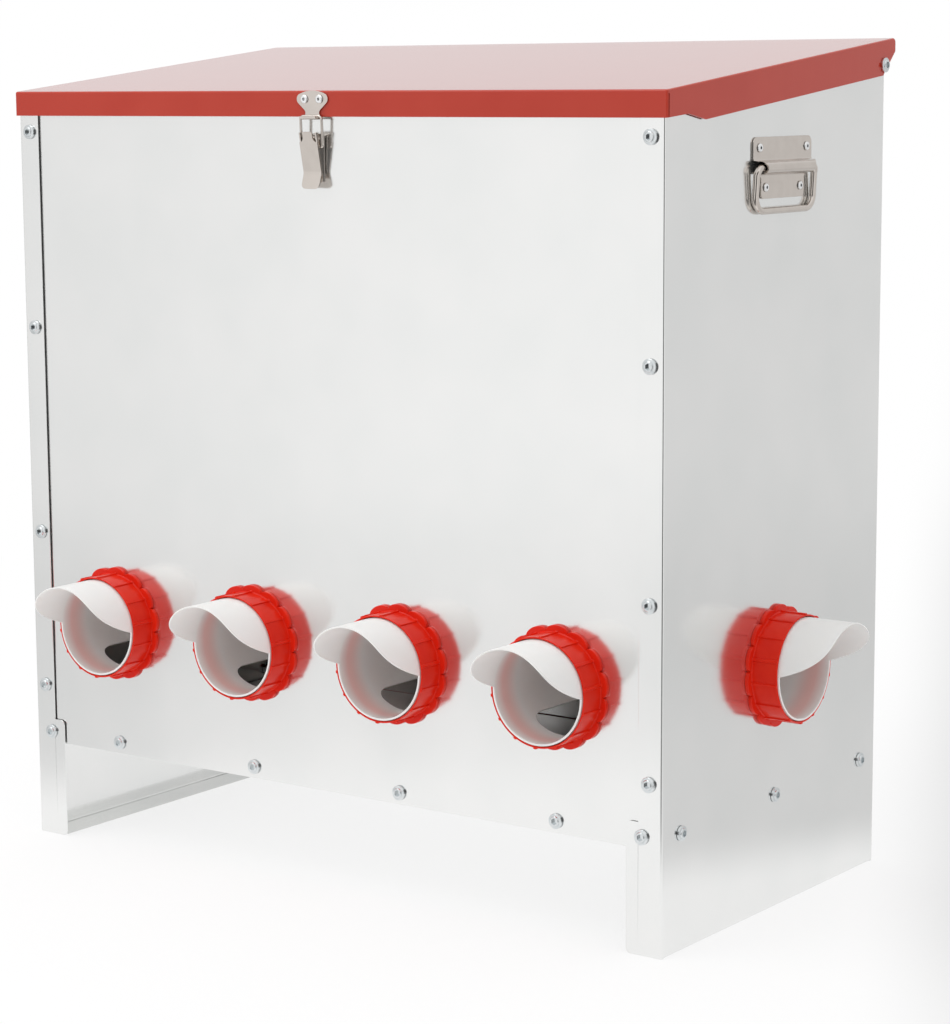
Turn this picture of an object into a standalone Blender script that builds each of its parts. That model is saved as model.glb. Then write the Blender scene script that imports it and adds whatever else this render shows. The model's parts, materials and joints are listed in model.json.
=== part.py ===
# Gravity feeder for poultry: a galvanised sheet steel hopper on four flanged legs, with a sloping
# hinged lid, a toggle latch, two fold-down handles, four feeding ports in front and one in each side.
# Metres, +Z up. X is the width and -Y the front. The origin lies under the middle of the bounding box.

import math

import bmesh
import bpy
from mathutils import Matrix, Vector

# Sheet metal and fits
SHEET = 0.0008
GAP = 0.0003
HOLE_CLEARANCE = 0.0006

# Lid
LID_WIDTH = 0.600
LID_DEPTH = 0.320
LID_REAR_HEIGHT = 0.630
LID_SLOPE = math.radians(6.5)
LID_FRONT_FLANGE = 0.0185
LID_SIDE_FLANGE = 0.0258
LID_NOSE_FLANGE = 0.0192
LID_NOSE_LENGTH = 0.0265
LID_NOSE_STEP = 0.022
LID_REAR_FLANGE = 0.009
LID_REAR_CUT = 0.0197
LID_SIDE_CLEARANCE = 0.0017
LID_FRONT_OVERHANG = 0.0015
LID_REAR_OVERHANG = 0.0125
PIVOT_INSET = 0.006
PIVOT_DROP = 0.0182

# Body
FLANGE_NARROW = 0.0197
FLANGE_WIDE = 0.0298
FLANGE_STEP_HEIGHT = 0.095
FLANGE_STEP_ROUNDING = 0.004
FOOT_FLANGE = 0.027
PANEL_GAP = 0.001
PANEL_SIDE_GAP = 0.0004
PANEL_BOTTOM = 0.0758
PANEL_LIP = 0.012
SIDE_TOP_GAP = 0.0025
FRONT_TOP_GAP = 0.0004
BACK_TOP_RISE = 0.014
NUT_ROOM = 0.003
FLOOR_RISE = 0.0005
FLOOR_FLANGE = 0.018

# Screws and rivets
SCREW_HEAD_RADIUS = 0.0055
SCREW_HEAD_HEIGHT = 0.0028
SCREW_RIM_HEIGHT = 0.0007
SCREW_CROWN_RADIUS = 0.0034
SCREW_SHANK_RADIUS = 0.0023
NUT_RADIUS = 0.0045
NUT_HEIGHT = 0.004
COLUMN_SCREW_INSET = 0.011
COLUMN_SCREW_HEIGHTS = (0.410, 0.247, 0.1225)
TOP_SCREW_DROP = 0.0125
LEG_SCREW_INSET = 0.0165
FLOOR_SCREW_RISE = 0.0085
SIDE_SCREW_INSET = 0.024
RIVET_HEAD_RADIUS = 0.0032
RIVET_HEAD_HEIGHT = 0.0012
RIVET_CROWN_RADIUS = 0.0016
RIVET_CROWN_HEIGHT = 0.0011
RIVET_SHANK_RADIUS = 0.0016
RIVET_TAIL_RADIUS = 0.0026
RIVET_TAIL_LENGTH = 0.003
RIVET_SINK = 0.0001

# Feeding ports
PORT_PITCH = 0.139
PORT_HEIGHT = 0.181
FRONT_PORTS = 4
PORT_CLEARANCE = 0.0008
TUBE_RADIUS = 0.03745
TUBE_WALL = 0.0022
RIM_REACH = 0.024
VISOR_LENGTH = 0.038
VISOR_FULLNESS = 3
TUBE_DEPTH = 0.075
SLOT_START = 0.008
SLOT_DROP = 0.0249
COLLAR_RADIUS = 0.045
COLLAR_THICKNESS = 0.0025
RING_CLEARANCE = 0.0007
RING_WALL = 0.0012
RING_SETBACK = 0.0006
RING_TEETH = 14
RING_TURN = math.radians(3.4)
RIB_HEIGHT = 0.001
RIB_WIDTH = 0.0022
RING_FLANGE = 0.003
LOBE_TIP_RADIUS = 0.0446
LOBE_VALLEY_RADIUS = 0.0418
LOBE_FLAT_SHARE = 0.4

# Toggle latch
CATCH_SHEET = 0.001
CATCH_HEAD_WIDTH = 0.0286
CATCH_HEAD_RISE = 0.0125
CATCH_HEAD_HEIGHT = 0.012
CATCH_HEAD_TURN = 70
CATCH_NECK_WIDTH = 0.013
CATCH_NECK_DROP = 0.0084
CATCH_HOOK_ROOM = 0.0022
CATCH_RIVET_SPACING = 0.0137
CATCH_RIVET_TAIL = 0.0016
BAIL_WIRE_RADIUS = 0.0012
BAIL_BEND_RADIUS = 0.003
BAIL_LINK_BEND = 0.0015
BAR_BELOW_LID = -0.0005
PIN_BELOW_BAR = 0.0158
PIN_BEHIND_BAR = 0.0002
LINK_BELOW_PIN = 0.0062
LINK_BEHIND_PIN = 0.0009
PIN_RADIUS = 0.0014
EAR_RADIUS = 0.0028
EAR_ARC = (75, 255)
EAR_ROOT_DROP = 0.0084
EAR_ROOT_RISE = 0.0014
BASE_SHEET = 0.0012
BASE_HALF_WIDTH = 0.0066
BASE_BELOW_PIN = 0.032
BASE_ABOVE_PIN = 0.0022
BASE_RIVETS_BELOW_PIN = (0.014, 0.026)
LEVER_SHEET = 0.0012
LEVER_HALF_WIDTH = 0.0082
LEVER_TONGUE_HALF_WIDTH = 0.0045
LEVER_CORNER = 0.004
LEVER_TOP_RISE = 0.0045
LEVER_TOP_REACH = 0.0054
LEVER_BEND_DROP = 0.0252
LEVER_BEND_REACH = -0.0006
LEVER_TIP_DROP = 0.0362
LEVER_TIP_REACH = 0.0028
LEVER_CHEEK_BACK = 0.0032
CHEEK_ARC_END = 75

# Fold-down handles
HANDLE_DROP = 0.0721
HANDLE_SHEET = 0.0012
HANDLE_WING_HALF_WIDTH = 0.0406
HANDLE_WING_TOP = 0.0212
HANDLE_WING_BOTTOM = 0.0054
HANDLE_TAIL_HALF_WIDTH = 0.030
HANDLE_TAIL_BOTTOM = 0.0218
HANDLE_CORNER = 0.005
BARREL_RADIUS = 0.0046
BARREL_STANDOFF = 0.005
BARREL_HALF_LENGTH = 0.033
HANDLE_WIRE_RADIUS = 0.0025
HANDLE_WIRE_CLEARANCE = 0.0003
HANDLE_HALF_SPAN = 0.0402
HANDLE_LEAN = math.radians(3.9)
HANDLE_LENGTH = 0.0301
HANDLE_TOP_BEND = 0.005
HANDLE_LOW_BEND = 0.010
HANDLE_END_DEPTH = 0.012
HANDLE_RIVETS = ((-0.0327, 0.0137), (0.0327, 0.0137), (-0.024, -0.0138), (0.024, -0.0138))

# Facets, how far a cutter runs past what it cuts, and how deep joined shapes run into each other
CUT_MARGIN = 0.010
JOINT_OVERLAP = 0.0005
FLAT_ANGLE = 1e-3
UNDERSIDE_NORMAL = -0.2
CORNER_STEPS = 4
HOLE_SIDES = 8
PIN_SIDES = 12
SCREW_SIDES = 8
TUBE_SIDES = 24
RING_BORE_SIDES = 28
BARREL_SIDES = 16

# Places that follow from the sizes above. Until the root moves it, the body is centred on X and Y.
BODY_WIDTH = LID_WIDTH - 2 * (SHEET + LID_SIDE_CLEARANCE)
BODY_DEPTH = LID_DEPTH - LID_FRONT_OVERHANG - LID_REAR_OVERHANG
SIDE = BODY_WIDTH / 2
FRONT = -BODY_DEPTH / 2
BACK = BODY_DEPTH / 2
LID_FRONT = FRONT - LID_FRONT_OVERHANG
LID_BACK = BACK + LID_REAR_OVERHANG
PANEL_SETBACK = SHEET + PANEL_GAP
PANEL_FACE = FRONT + PANEL_SETBACK
PANEL_HALF_WIDTH = SIDE - SHEET - PANEL_SIDE_GAP
FLOOR_BOTTOM = PANEL_BOTTOM + FLOOR_RISE
FLOOR_SCREW_HEIGHT = FLOOR_BOTTOM + FLOOR_SCREW_RISE
FRONT_VISOR_TIP = PANEL_FACE - RIM_REACH - VISOR_LENGTH
ROOT_SHIFT = -(FRONT_VISOR_TIP + LID_BACK) / 2
HOLE_RADIUS = SCREW_SHANK_RADIUS + HOLE_CLEARANCE
RIVET_HOLE_RADIUS = RIVET_SHANK_RADIUS + HOLE_CLEARANCE
PORT_HOLE_RADIUS = TUBE_RADIUS + PORT_CLEARANCE


def lid_top(y):
    return LID_REAR_HEIGHT - (LID_BACK - y) * math.tan(LID_SLOPE)


def lid_underside(y):
    return lid_top(y) - SHEET / math.cos(LID_SLOPE)


PIVOT = Vector((0.0, BACK - PIVOT_INSET, lid_top(BACK - PIVOT_INSET) - PIVOT_DROP))
LID_FRONT_BOTTOM = lid_top(LID_FRONT) - LID_FRONT_FLANGE
HANDLE_CENTRE_HEIGHT = lid_top(0.0) - HANDLE_DROP
BAR_Y = LID_FRONT - GAP - CATCH_SHEET - GAP - BAIL_WIRE_RADIUS
BAR_Z = LID_FRONT_BOTTOM - BAR_BELOW_LID
PIN = Vector((0.0, BAR_Y + PIN_BEHIND_BAR, BAR_Z - PIN_BELOW_BAR))
LINK = Vector((0.0, PIN.y + LINK_BEHIND_PIN, PIN.z - LINK_BELOW_PIN))

# Rotations that turn a piece's own Z outward and its own Y upward on each face of the body
FACING = {
    "front": (math.pi / 2, 0.0, 0.0),
    "right": (math.pi / 2, 0.0, math.pi / 2),
    "back": (math.pi / 2, 0.0, math.pi),
    "left": (math.pi / 2, 0.0, -math.pi / 2),
}
# Matrices that lay a flat outline in a plane of the body, with its thickness along the third axis
ALONG_X = Matrix(((0, 0, 1, 0), (1, 0, 0, 0), (0, 1, 0, 0), (0, 0, 0, 1)))
ALONG_Y = Matrix(((1, 0, 0, 0), (0, 0, -1, 0), (0, 1, 0, 0), (0, 0, 0, 1)))


for old in list(bpy.data.objects):
    bpy.data.objects.remove(old, do_unlink=True)

feeder = bpy.data.collections.new("poultry_feeder")
cutters = bpy.data.collections.new("cutters")
bpy.context.scene.collection.children.link(feeder)
bpy.context.scene.collection.children.link(cutters)

root = bpy.data.objects.new("feeder_root", None)
root.location = (0.0, ROOT_SHIFT, 0.0)
feeder.objects.link(root)


def make_material(name, colour, roughness, metallic):
    material = bpy.data.materials.new(name)
    material.use_nodes = True
    shader = material.node_tree.nodes["Principled BSDF"]
    shader.inputs["Base Color"].default_value = (*colour, 1.0)
    shader.inputs["Roughness"].default_value = roughness
    shader.inputs["Metallic"].default_value = metallic
    return material


GALVANISED = make_material("galvanised_steel", (0.72, 0.73, 0.74), 0.35, 1.0)
RED_PAINT = make_material("red_paint", (0.45, 0.05, 0.035), 0.35, 0.0)
RED_PLASTIC = make_material("red_plastic", (0.72, 0.03, 0.015), 0.35, 0.0)
WHITE_PLASTIC = make_material("white_plastic", (0.85, 0.85, 0.82), 0.4, 0.0)
ZINC = make_material("zinc_plated_screws", (0.60, 0.62, 0.64), 0.3, 1.0)
NICKEL = make_material("nickel_plated_steel", (0.58, 0.54, 0.50), 0.25, 1.0)


def circle(x, y, radius, sides=HOLE_SIDES):
    turns = [2 * math.pi * step / sides for step in range(sides)]
    return [(x + radius * math.cos(turn), y + radius * math.sin(turn)) for turn in turns]


def arc(x, y, radius, start, stop, steps):
    turns = [math.radians(start + (stop - start) * step / steps) for step in range(steps + 1)]
    return [(x + radius * math.cos(turn), y + radius * math.sin(turn)) for turn in turns]


def rectangle(left, right, low, high):
    return [(left, low), (right, low), (right, high), (left, high)]


def closed_mesh(mesh):
    # Welds loose caps and turns every face outward.
    work = bmesh.new()
    work.from_mesh(mesh)
    bmesh.ops.remove_doubles(work, verts=work.verts, dist=1e-6)
    bmesh.ops.recalc_face_normals(work, faces=work.faces)
    work.to_mesh(mesh)
    work.free()
    return mesh


def evaluated_mesh(obj):
    # Reads an object with its modifiers as one plain mesh and removes the object.
    graph = bpy.context.evaluated_depsgraph_get()
    graph.update()
    mesh = bpy.data.meshes.new_from_object(obj.evaluated_get(graph), depsgraph=graph)
    bpy.data.objects.remove(obj, do_unlink=True)
    return closed_mesh(mesh)


def helper_object(name, data):
    obj = bpy.data.objects.new(name, data)
    obj.hide_render = True
    obj.display_type = "WIRE"
    cutters.objects.link(obj)
    return obj


def plate(loops, start, thickness, frame=Matrix.Identity(4)):
    # A flat outline, with its holes as further loops, that is as thick as a sheet.
    curve = bpy.data.curves.new("outline", "CURVE")
    curve.dimensions = "2D"
    curve.fill_mode = "BOTH"
    curve.extrude = thickness / 2
    for points in loops:
        spline = curve.splines.new("POLY")
        spline.points.add(len(points) - 1)
        for point, (x, y) in zip(spline.points, points):
            point.co = (x, y, 0.0, 1.0)
        spline.use_cyclic_u = True
    mesh = evaluated_mesh(helper_object("outline", curve))
    mesh.transform(frame @ Matrix.Translation((0.0, 0.0, start + thickness / 2)))
    return closed_mesh(mesh)


def turned(profile, sides, closed=False):
    # A profile in X and Z, turned round Z. Its rows run down the outer side, from top to bottom.
    mesh = bpy.data.meshes.new("profile")
    edges = [(step, step + 1) for step in range(len(profile) - 1)]
    if closed:
        edges.append((len(profile) - 1, 0))
    mesh.from_pydata([(radius, 0.0, height) for radius, height in profile], edges, [])
    obj = helper_object("profile", mesh)
    screw = obj.modifiers.new("turn", "SCREW")
    screw.steps = sides
    screw.render_steps = sides
    screw.use_merge_vertices = True
    screw.merge_threshold = 1e-5
    return evaluated_mesh(obj)


def combined(operation, base, others):
    # Joins closed meshes into one body, or cuts them out of the first one.
    obj = helper_object("base", base)
    helpers = [helper_object("other", other) for other in others]
    for helper in helpers:
        modifier = obj.modifiers.new("combine", "BOOLEAN")
        modifier.operation = operation
        modifier.solver = "EXACT"
        modifier.object = helper
    mesh = evaluated_mesh(obj)
    for helper in helpers:
        bpy.data.objects.remove(helper, do_unlink=True)
    return mesh


def solid_sheet(work, thickness):
    # Gives an open surface its thickness, on the inner side.
    mesh = bpy.data.meshes.new("sheet")
    work.to_mesh(mesh)
    work.free()
    obj = helper_object("sheet", mesh)
    solidify = obj.modifiers.new("thickness", "SOLIDIFY")
    solidify.thickness = thickness
    solidify.offset = -1.0
    solidify.use_even_offset = True
    return evaluated_mesh(obj)


def moved(mesh, frame):
    copy = mesh.copy()
    copy.transform(frame)
    return closed_mesh(copy)


def mirrored(mesh):
    return moved(mesh, Matrix.Scale(-1, 4, (1, 0, 0)))


def add_piece(name, data, material, location=(0, 0, 0), facing=(0, 0, 0)):
    obj = bpy.data.objects.new(name, data)
    obj.location = location
    obj.rotation_euler = facing
    obj.parent = root
    data.name = name if data.users == 1 else data.name
    if not data.materials:
        data.materials.append(material)
    if obj.type == "MESH":
        data.shade_smooth()
        data.set_sharp_from_angle(angle=math.radians(35))
    feeder.objects.link(obj)
    return obj


def add_moving_piece(name, mesh, material, axis_point):
    # The mesh is made in place, and the object's origin then lies on the joint's axis.
    mesh.transform(Matrix.Translation(-Vector(axis_point)))
    return add_piece(name, mesh, material, axis_point)


def screw_mesh(grip):
    # Button head, shank and nut. Z is 0 at the head's seat and the shank runs down from it.
    tip = -grip - NUT_HEIGHT
    profile = [
        (0.0, SCREW_HEAD_HEIGHT),
        (SCREW_CROWN_RADIUS, SCREW_HEAD_HEIGHT),
        (SCREW_HEAD_RADIUS, SCREW_RIM_HEIGHT),
        (SCREW_HEAD_RADIUS, 0.0),
        (SCREW_SHANK_RADIUS, 0.0),
        (SCREW_SHANK_RADIUS, -grip),
        (NUT_RADIUS, -grip),
        (NUT_RADIUS, tip),
        (0.0, tip),
    ]
    return turned(profile, SCREW_SIDES)


def rivet_mesh(grip, tail=RIVET_TAIL_LENGTH):
    tip = -grip - tail
    profile = [
        (0.0, RIVET_HEAD_HEIGHT),
        (RIVET_CROWN_RADIUS, RIVET_CROWN_HEIGHT),
        (RIVET_HEAD_RADIUS, 0.0),
        (RIVET_SHANK_RADIUS, 0.0),
        (RIVET_SHANK_RADIUS, -grip),
        (RIVET_TAIL_RADIUS, -grip),
        (RIVET_SHANK_RADIUS, tip),
        (0.0, tip),
    ]
    return turned(profile, SCREW_SIDES)


# Heights and places of the screws, shared by the panels, the floor and the screws themselves
COLUMN_HEIGHTS = (LID_FRONT_BOTTOM - TOP_SCREW_DROP, *COLUMN_SCREW_HEIGHTS)
COLUMN_X = SIDE - COLUMN_SCREW_INSET
LEG_X = SIDE - LEG_SCREW_INSET
PORT_XS = [(step - (FRONT_PORTS - 1) / 2) * PORT_PITCH for step in range(FRONT_PORTS)]
SIDE_SCREW_YS = (FRONT + SIDE_SCREW_INSET, 0.0, BACK - SIDE_SCREW_INSET)
LATCH_RIVET_HEIGHTS = [PIN.z - drop for drop in BASE_RIVETS_BELOW_PIN]


def flange_holes(side):
    columns = [circle(side * COLUMN_X, height, HOLE_RADIUS) for height in COLUMN_HEIGHTS]
    return columns + [circle(side * LEG_X, FLOOR_SCREW_HEIGHT, HOLE_RADIUS)]


def floor_holes():
    row = [circle(x, FLOOR_SCREW_HEIGHT, HOLE_RADIUS) for x in PORT_XS]
    legs = [circle(x, FLOOR_SCREW_HEIGHT, HOLE_RADIUS) for x in (-LEG_X, LEG_X)]
    return row + legs


def side_top(y):
    return lid_underside(y) - SIDE_TOP_GAP


def side_panel_mesh():
    # Right side: the wall and its inward flanges are one bent sheet, with a foot flange below.
    height = LID_REAR_HEIGHT
    inner = SIDE - SHEET
    edge = SIDE - FLANGE_WIDE
    bent = [(edge, FRONT), (SIDE, FRONT), (SIDE, BACK), (edge, BACK)]
    bent += [(edge, BACK - SHEET), (inner, BACK - SHEET), (inner, FRONT + SHEET)]
    bent += [(edge, FRONT + SHEET)]
    walls = plate([bent], 0.0, height)
    foot_width = rectangle(SIDE - FOOT_FLANGE, SIDE - SHEET / 2, FRONT + SHEET / 2, BACK - SHEET / 2)
    walls = combined("UNION", walls, [plate([foot_width], 0.0, SHEET)])

    above = [(FRONT - CUT_MARGIN, side_top(FRONT - CUT_MARGIN))]
    above += [(BACK + CUT_MARGIN, side_top(BACK + CUT_MARGIN))]
    above += [(BACK + CUT_MARGIN, height + CUT_MARGIN), (FRONT - CUT_MARGIN, height + CUT_MARGIN)]
    rounding = FLANGE_STEP_ROUNDING
    step = arc(edge + rounding, FLANGE_STEP_HEIGHT - rounding, rounding, 90, 180, CORNER_STEPS)
    step += [(edge - CUT_MARGIN, FLANGE_STEP_HEIGHT - rounding), (edge - CUT_MARGIN, height)]
    step += [(SIDE - FLANGE_NARROW, height), (SIDE - FLANGE_NARROW, FLANGE_STEP_HEIGHT)]
    wall_holes = [circle(0.0, PORT_HEIGHT, PORT_HOLE_RADIUS, TUBE_SIDES)]
    wall_holes += [circle(y, FLOOR_SCREW_HEIGHT, HOLE_RADIUS) for y in SIDE_SCREW_YS]
    wall_holes += [circle(PIVOT.y, PIVOT.z, HOLE_RADIUS)]
    wall_holes += [
        circle(y, HANDLE_CENTRE_HEIGHT + z, RIVET_HOLE_RADIUS) for y, z in HANDLE_RIVETS
    ]
    cuts = [
        plate([above], 0.0, LID_WIDTH, ALONG_X),
        plate([step], -LID_DEPTH, 2 * LID_DEPTH, ALONG_Y),
        plate(flange_holes(1), -LID_DEPTH, 2 * LID_DEPTH, ALONG_Y),
        plate(wall_holes, SIDE - CUT_MARGIN, 2 * CUT_MARGIN, ALONG_X),
    ]
    return combined("DIFFERENCE", walls, cuts)


def panel_mesh(top, face, inward, holes):
    # A flat panel from its bottom edge up to a lip folded inward along the top.
    behind = face + inward * SHEET
    lip_end = face + inward * PANEL_LIP
    profile = [(face, PANEL_BOTTOM), (face, top), (lip_end, top), (lip_end, top - SHEET)]
    profile += [(behind, top - SHEET), (behind, PANEL_BOTTOM)]
    panel = plate([profile], -PANEL_HALF_WIDTH, 2 * PANEL_HALF_WIDTH, ALONG_X)
    if not holes:
        return panel
    return combined("DIFFERENCE", panel, [plate(holes, -face - CUT_MARGIN, 2 * CUT_MARGIN, ALONG_Y)])


def front_panel_mesh():
    top = lid_underside(PANEL_FACE) - FRONT_TOP_GAP
    holes = [circle(x, PORT_HEIGHT, PORT_HOLE_RADIUS, TUBE_SIDES) for x in PORT_XS]
    holes += [circle(side * COLUMN_X, z, HOLE_RADIUS) for side in (-1, 1) for z in COLUMN_HEIGHTS]
    holes += floor_holes()
    holes += [circle(0.0, height, RIVET_HOLE_RADIUS) for height in LATCH_RIVET_HEIGHTS]
    return panel_mesh(top, PANEL_FACE, 1, holes)


def back_panel_mesh():
    # The upper corners are notched round the lid's pivot screws. The back's own screws are fixed
    # in the panel, past the number of pieces that can be told apart.
    panel = panel_mesh(PIVOT.z + BACK_TOP_RISE, -PANEL_FACE, -1, [])
    notch_x = SIDE - SHEET - GAP - NUT_HEIGHT - NUT_ROOM
    notch_z = PIVOT.z - NUT_RADIUS - NUT_ROOM
    notches = [
        plate([rectangle(*sorted((side * notch_x, side * LID_WIDTH)), notch_z, LID_REAR_HEIGHT)],
              -LID_DEPTH, 2 * LID_DEPTH, ALONG_Y)
        for side in (-1, 1)
    ]
    panel = combined("DIFFERENCE", panel, notches)
    screws = []
    column_grip = PANEL_SETBACK + SHEET + GAP
    leg_grip = column_grip + SHEET + GAP
    row_grip = SHEET + GAP + SHEET + GAP
    for side in (-1, 1):
        for height in COLUMN_HEIGHTS:
            screws.append((side * COLUMN_X, BACK + GAP, height, column_grip + GAP))
        screws.append((side * LEG_X, BACK + GAP, FLOOR_SCREW_HEIGHT, leg_grip + GAP))
    for x in PORT_XS:
        screws.append((x, -PANEL_FACE - GAP, FLOOR_SCREW_HEIGHT, row_grip))
    solids = []
    for x, y, z, grip in screws:
        turn = Matrix.Rotation(math.pi, 4, "Z") @ Matrix.Rotation(math.pi / 2, 4, "X")
        solids.append(moved(screw_mesh(grip), Matrix.Translation((x, y, z)) @ turn))
    return combined("UNION", panel, solids)


def floor_panel_mesh():
    # A shallow tray whose four sides are folded up behind the panels.
    width = 2 * (SIDE - SHEET - GAP)
    depth = 2 * (-PANEL_FACE - SHEET - GAP)
    work = bmesh.new()
    bmesh.ops.create_cube(work, size=1.0)
    bmesh.ops.scale(work, vec=(width, depth, FLOOR_FLANGE), verts=work.verts)
    bmesh.ops.translate(work, vec=(0, 0, FLOOR_BOTTOM + FLOOR_FLANGE / 2), verts=work.verts)
    top = [face for face in work.faces if face.normal.z > 0.5]
    bmesh.ops.delete(work, geom=top, context="FACES_ONLY")
    tray = solid_sheet(work, SHEET)
    side_holes = [circle(y, FLOOR_SCREW_HEIGHT, HOLE_RADIUS) for y in SIDE_SCREW_YS]
    drills = [
        plate(floor_holes(), -LID_DEPTH, 2 * LID_DEPTH, ALONG_Y),
        plate(side_holes, -LID_WIDTH, 2 * LID_WIDTH, ALONG_X),
    ]
    return combined("DIFFERENCE", tray, drills)


def lid_mesh():
    # The lid's side view drawn out to its width. With the underside taken off it is one bent sheet.
    nose = LID_FRONT + LID_NOSE_LENGTH
    skirt = nose + LID_NOSE_STEP
    rear_low = lid_top(LID_BACK) - LID_REAR_FLANGE
    cut = LID_BACK - LID_REAR_CUT
    outline = [
        (LID_FRONT, lid_top(LID_FRONT)),
        (LID_FRONT, LID_FRONT_BOTTOM),
        (nose, lid_top(nose) - LID_NOSE_FLANGE),
        (skirt, lid_top(skirt) - LID_SIDE_FLANGE),
        (cut, lid_top(cut) - LID_SIDE_FLANGE),
        (LID_BACK, rear_low),
        (LID_BACK, lid_top(LID_BACK)),
    ]
    block = plate([outline], -LID_WIDTH / 2, LID_WIDTH, ALONG_X)
    work = bmesh.new()
    work.from_mesh(block)
    bmesh.ops.dissolve_limit(work, angle_limit=FLAT_ANGLE, verts=work.verts, edges=work.edges)
    underside = [face for face in work.faces if face.normal.z < UNDERSIDE_NORMAL]
    bmesh.ops.delete(work, geom=underside, context="FACES")
    shell = solid_sheet(work, SHEET)
    drills = [plate([circle(PIVOT.y, PIVOT.z, HOLE_RADIUS)], -LID_WIDTH, 2 * LID_WIDTH, ALONG_X)]
    for x in (-CATCH_RIVET_SPACING / 2, CATCH_RIVET_SPACING / 2):
        hole = circle(x, LID_FRONT_BOTTOM + CATCH_HEAD_RISE, RIVET_HOLE_RADIUS)
        drills.append(plate([hole], -LID_FRONT - CUT_MARGIN, 2 * CUT_MARGIN, ALONG_Y))
    return combined("DIFFERENCE", shell, drills)


def visor_reach(share):
    # How far the visor stands out of the rim, for a share of the tube's radius above its axis
    return VISOR_LENGTH * (1 - (1 - max(0.0, share)) ** VISOR_FULLNESS)


def port_tube_mesh():
    # Z is 0 at the panel's outer face. Outside, the upper half runs on as a visor. Inside, the tube
    # is closed at its end, and feed comes in through a slot along its bottom.
    work = bmesh.new()
    bmesh.ops.create_cone(
        work, cap_ends=False, segments=TUBE_SIDES, radius1=TUBE_RADIUS, radius2=TUBE_RADIUS, depth=1.0
    )
    for vert in work.verts:
        outside = vert.co.z > 0
        vert.co.z = RIM_REACH + visor_reach(vert.co.y / TUBE_RADIUS) if outside else -TUBE_DEPTH
    tube = solid_sheet(work, TUBE_WALL)
    slot = rectangle(-TUBE_RADIUS - CUT_MARGIN, TUBE_RADIUS + CUT_MARGIN,
                     -TUBE_RADIUS - CUT_MARGIN, -SLOT_DROP)
    slot_length = TUBE_DEPTH - SLOT_START
    tube = combined("DIFFERENCE", tube, [plate([slot], -TUBE_DEPTH - CUT_MARGIN, slot_length + CUT_MARGIN)])
    middle = TUBE_RADIUS - TUBE_WALL / 2
    washer = [circle(0, 0, COLLAR_RADIUS, TUBE_SIDES), circle(0, 0, middle, TUBE_SIDES)]
    collar = plate(washer, -SHEET - GAP - COLLAR_THICKNESS, COLLAR_THICKNESS)
    low_turn = math.degrees(math.asin((SLOT_DROP - JOINT_OVERLAP) / middle))
    cap = arc(0, 0, middle, -low_turn, 180 + low_turn, TUBE_SIDES)
    end_wall = plate([cap], JOINT_OVERLAP - TUBE_DEPTH, TUBE_WALL)
    return combined("UNION", tube, [collar, end_wall])


def lock_ring_mesh():
    # A ribbed sleeve with a scalloped flange against the panel, each rib in line with a lobe.
    bore = TUBE_RADIUS + RING_CLEARANCE
    outer = bore + RING_WALL
    tooth = 2 * math.pi / RING_TEETH
    rib = RIB_WIDTH / outer
    sleeve = []
    flange = []
    for step in range(RING_TEETH):
        middle = step * tooth + math.pi / 2 - RING_TURN
        for turn, radius in (
            (middle - rib / 2, outer),
            (middle - rib / 2, outer + RIB_HEIGHT),
            (middle + rib / 2, outer + RIB_HEIGHT),
            (middle + rib / 2, outer),
        ):
            sleeve.append((radius * math.cos(turn), radius * math.sin(turn)))
        for turn, radius in (
            (middle - tooth / 2, LOBE_VALLEY_RADIUS),
            (middle - tooth * LOBE_FLAT_SHARE / 2, LOBE_TIP_RADIUS),
            (middle + tooth * LOBE_FLAT_SHARE / 2, LOBE_TIP_RADIUS),
        ):
            flange.append((radius * math.cos(turn), radius * math.sin(turn)))
    bore_loop = circle(0, 0, bore, RING_BORE_SIDES)
    seat_loop = circle(0, 0, bore + JOINT_OVERLAP, RING_BORE_SIDES)
    top = RIM_REACH - RING_SETBACK
    sleeve_start = GAP + JOINT_OVERLAP
    sleeve_mesh = plate([sleeve, bore_loop], sleeve_start, top - sleeve_start)
    return combined("UNION", sleeve_mesh, [plate([flange, seat_loop], GAP, RING_FLANGE)])


def latch_base_mesh():
    # A riveted plate with two ears that carry the pin.
    seat = -PANEL_FACE + GAP
    front = seat + BASE_SHEET
    low, high = PIN.z - BASE_BELOW_PIN, PIN.z + BASE_ABOVE_PIN
    sheet = rectangle(-BASE_HALF_WIDTH, BASE_HALF_WIDTH, low, high)
    base = plate([sheet], seat, BASE_SHEET, ALONG_Y)
    root_y = JOINT_OVERLAP - front
    ear = arc(PIN.y, PIN.z, EAR_RADIUS, *EAR_ARC, 2 * CORNER_STEPS)
    ear += [(root_y, PIN.z - EAR_ROOT_DROP), (root_y, PIN.z + EAR_ROOT_RISE)]
    hole = circle(PIN.y, PIN.z, PIN_RADIUS + GAP, PIN_SIDES)
    ear_face = BASE_HALF_WIDTH - GAP
    others = [
        plate([ear, hole], start, BASE_SHEET, ALONG_X)
        for start in (-ear_face, ear_face - BASE_SHEET)
    ]
    turn = Matrix.Rotation(math.pi / 2, 4, "X")
    for height in LATCH_RIVET_HEIGHTS:
        rivet = rivet_mesh(front - RIVET_SINK + PANEL_FACE + SHEET + GAP)
        place = Matrix.Translation((0.0, -front + RIVET_SINK, height))
        others.append(moved(rivet, place @ turn))
    return combined("UNION", base, others)


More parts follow.
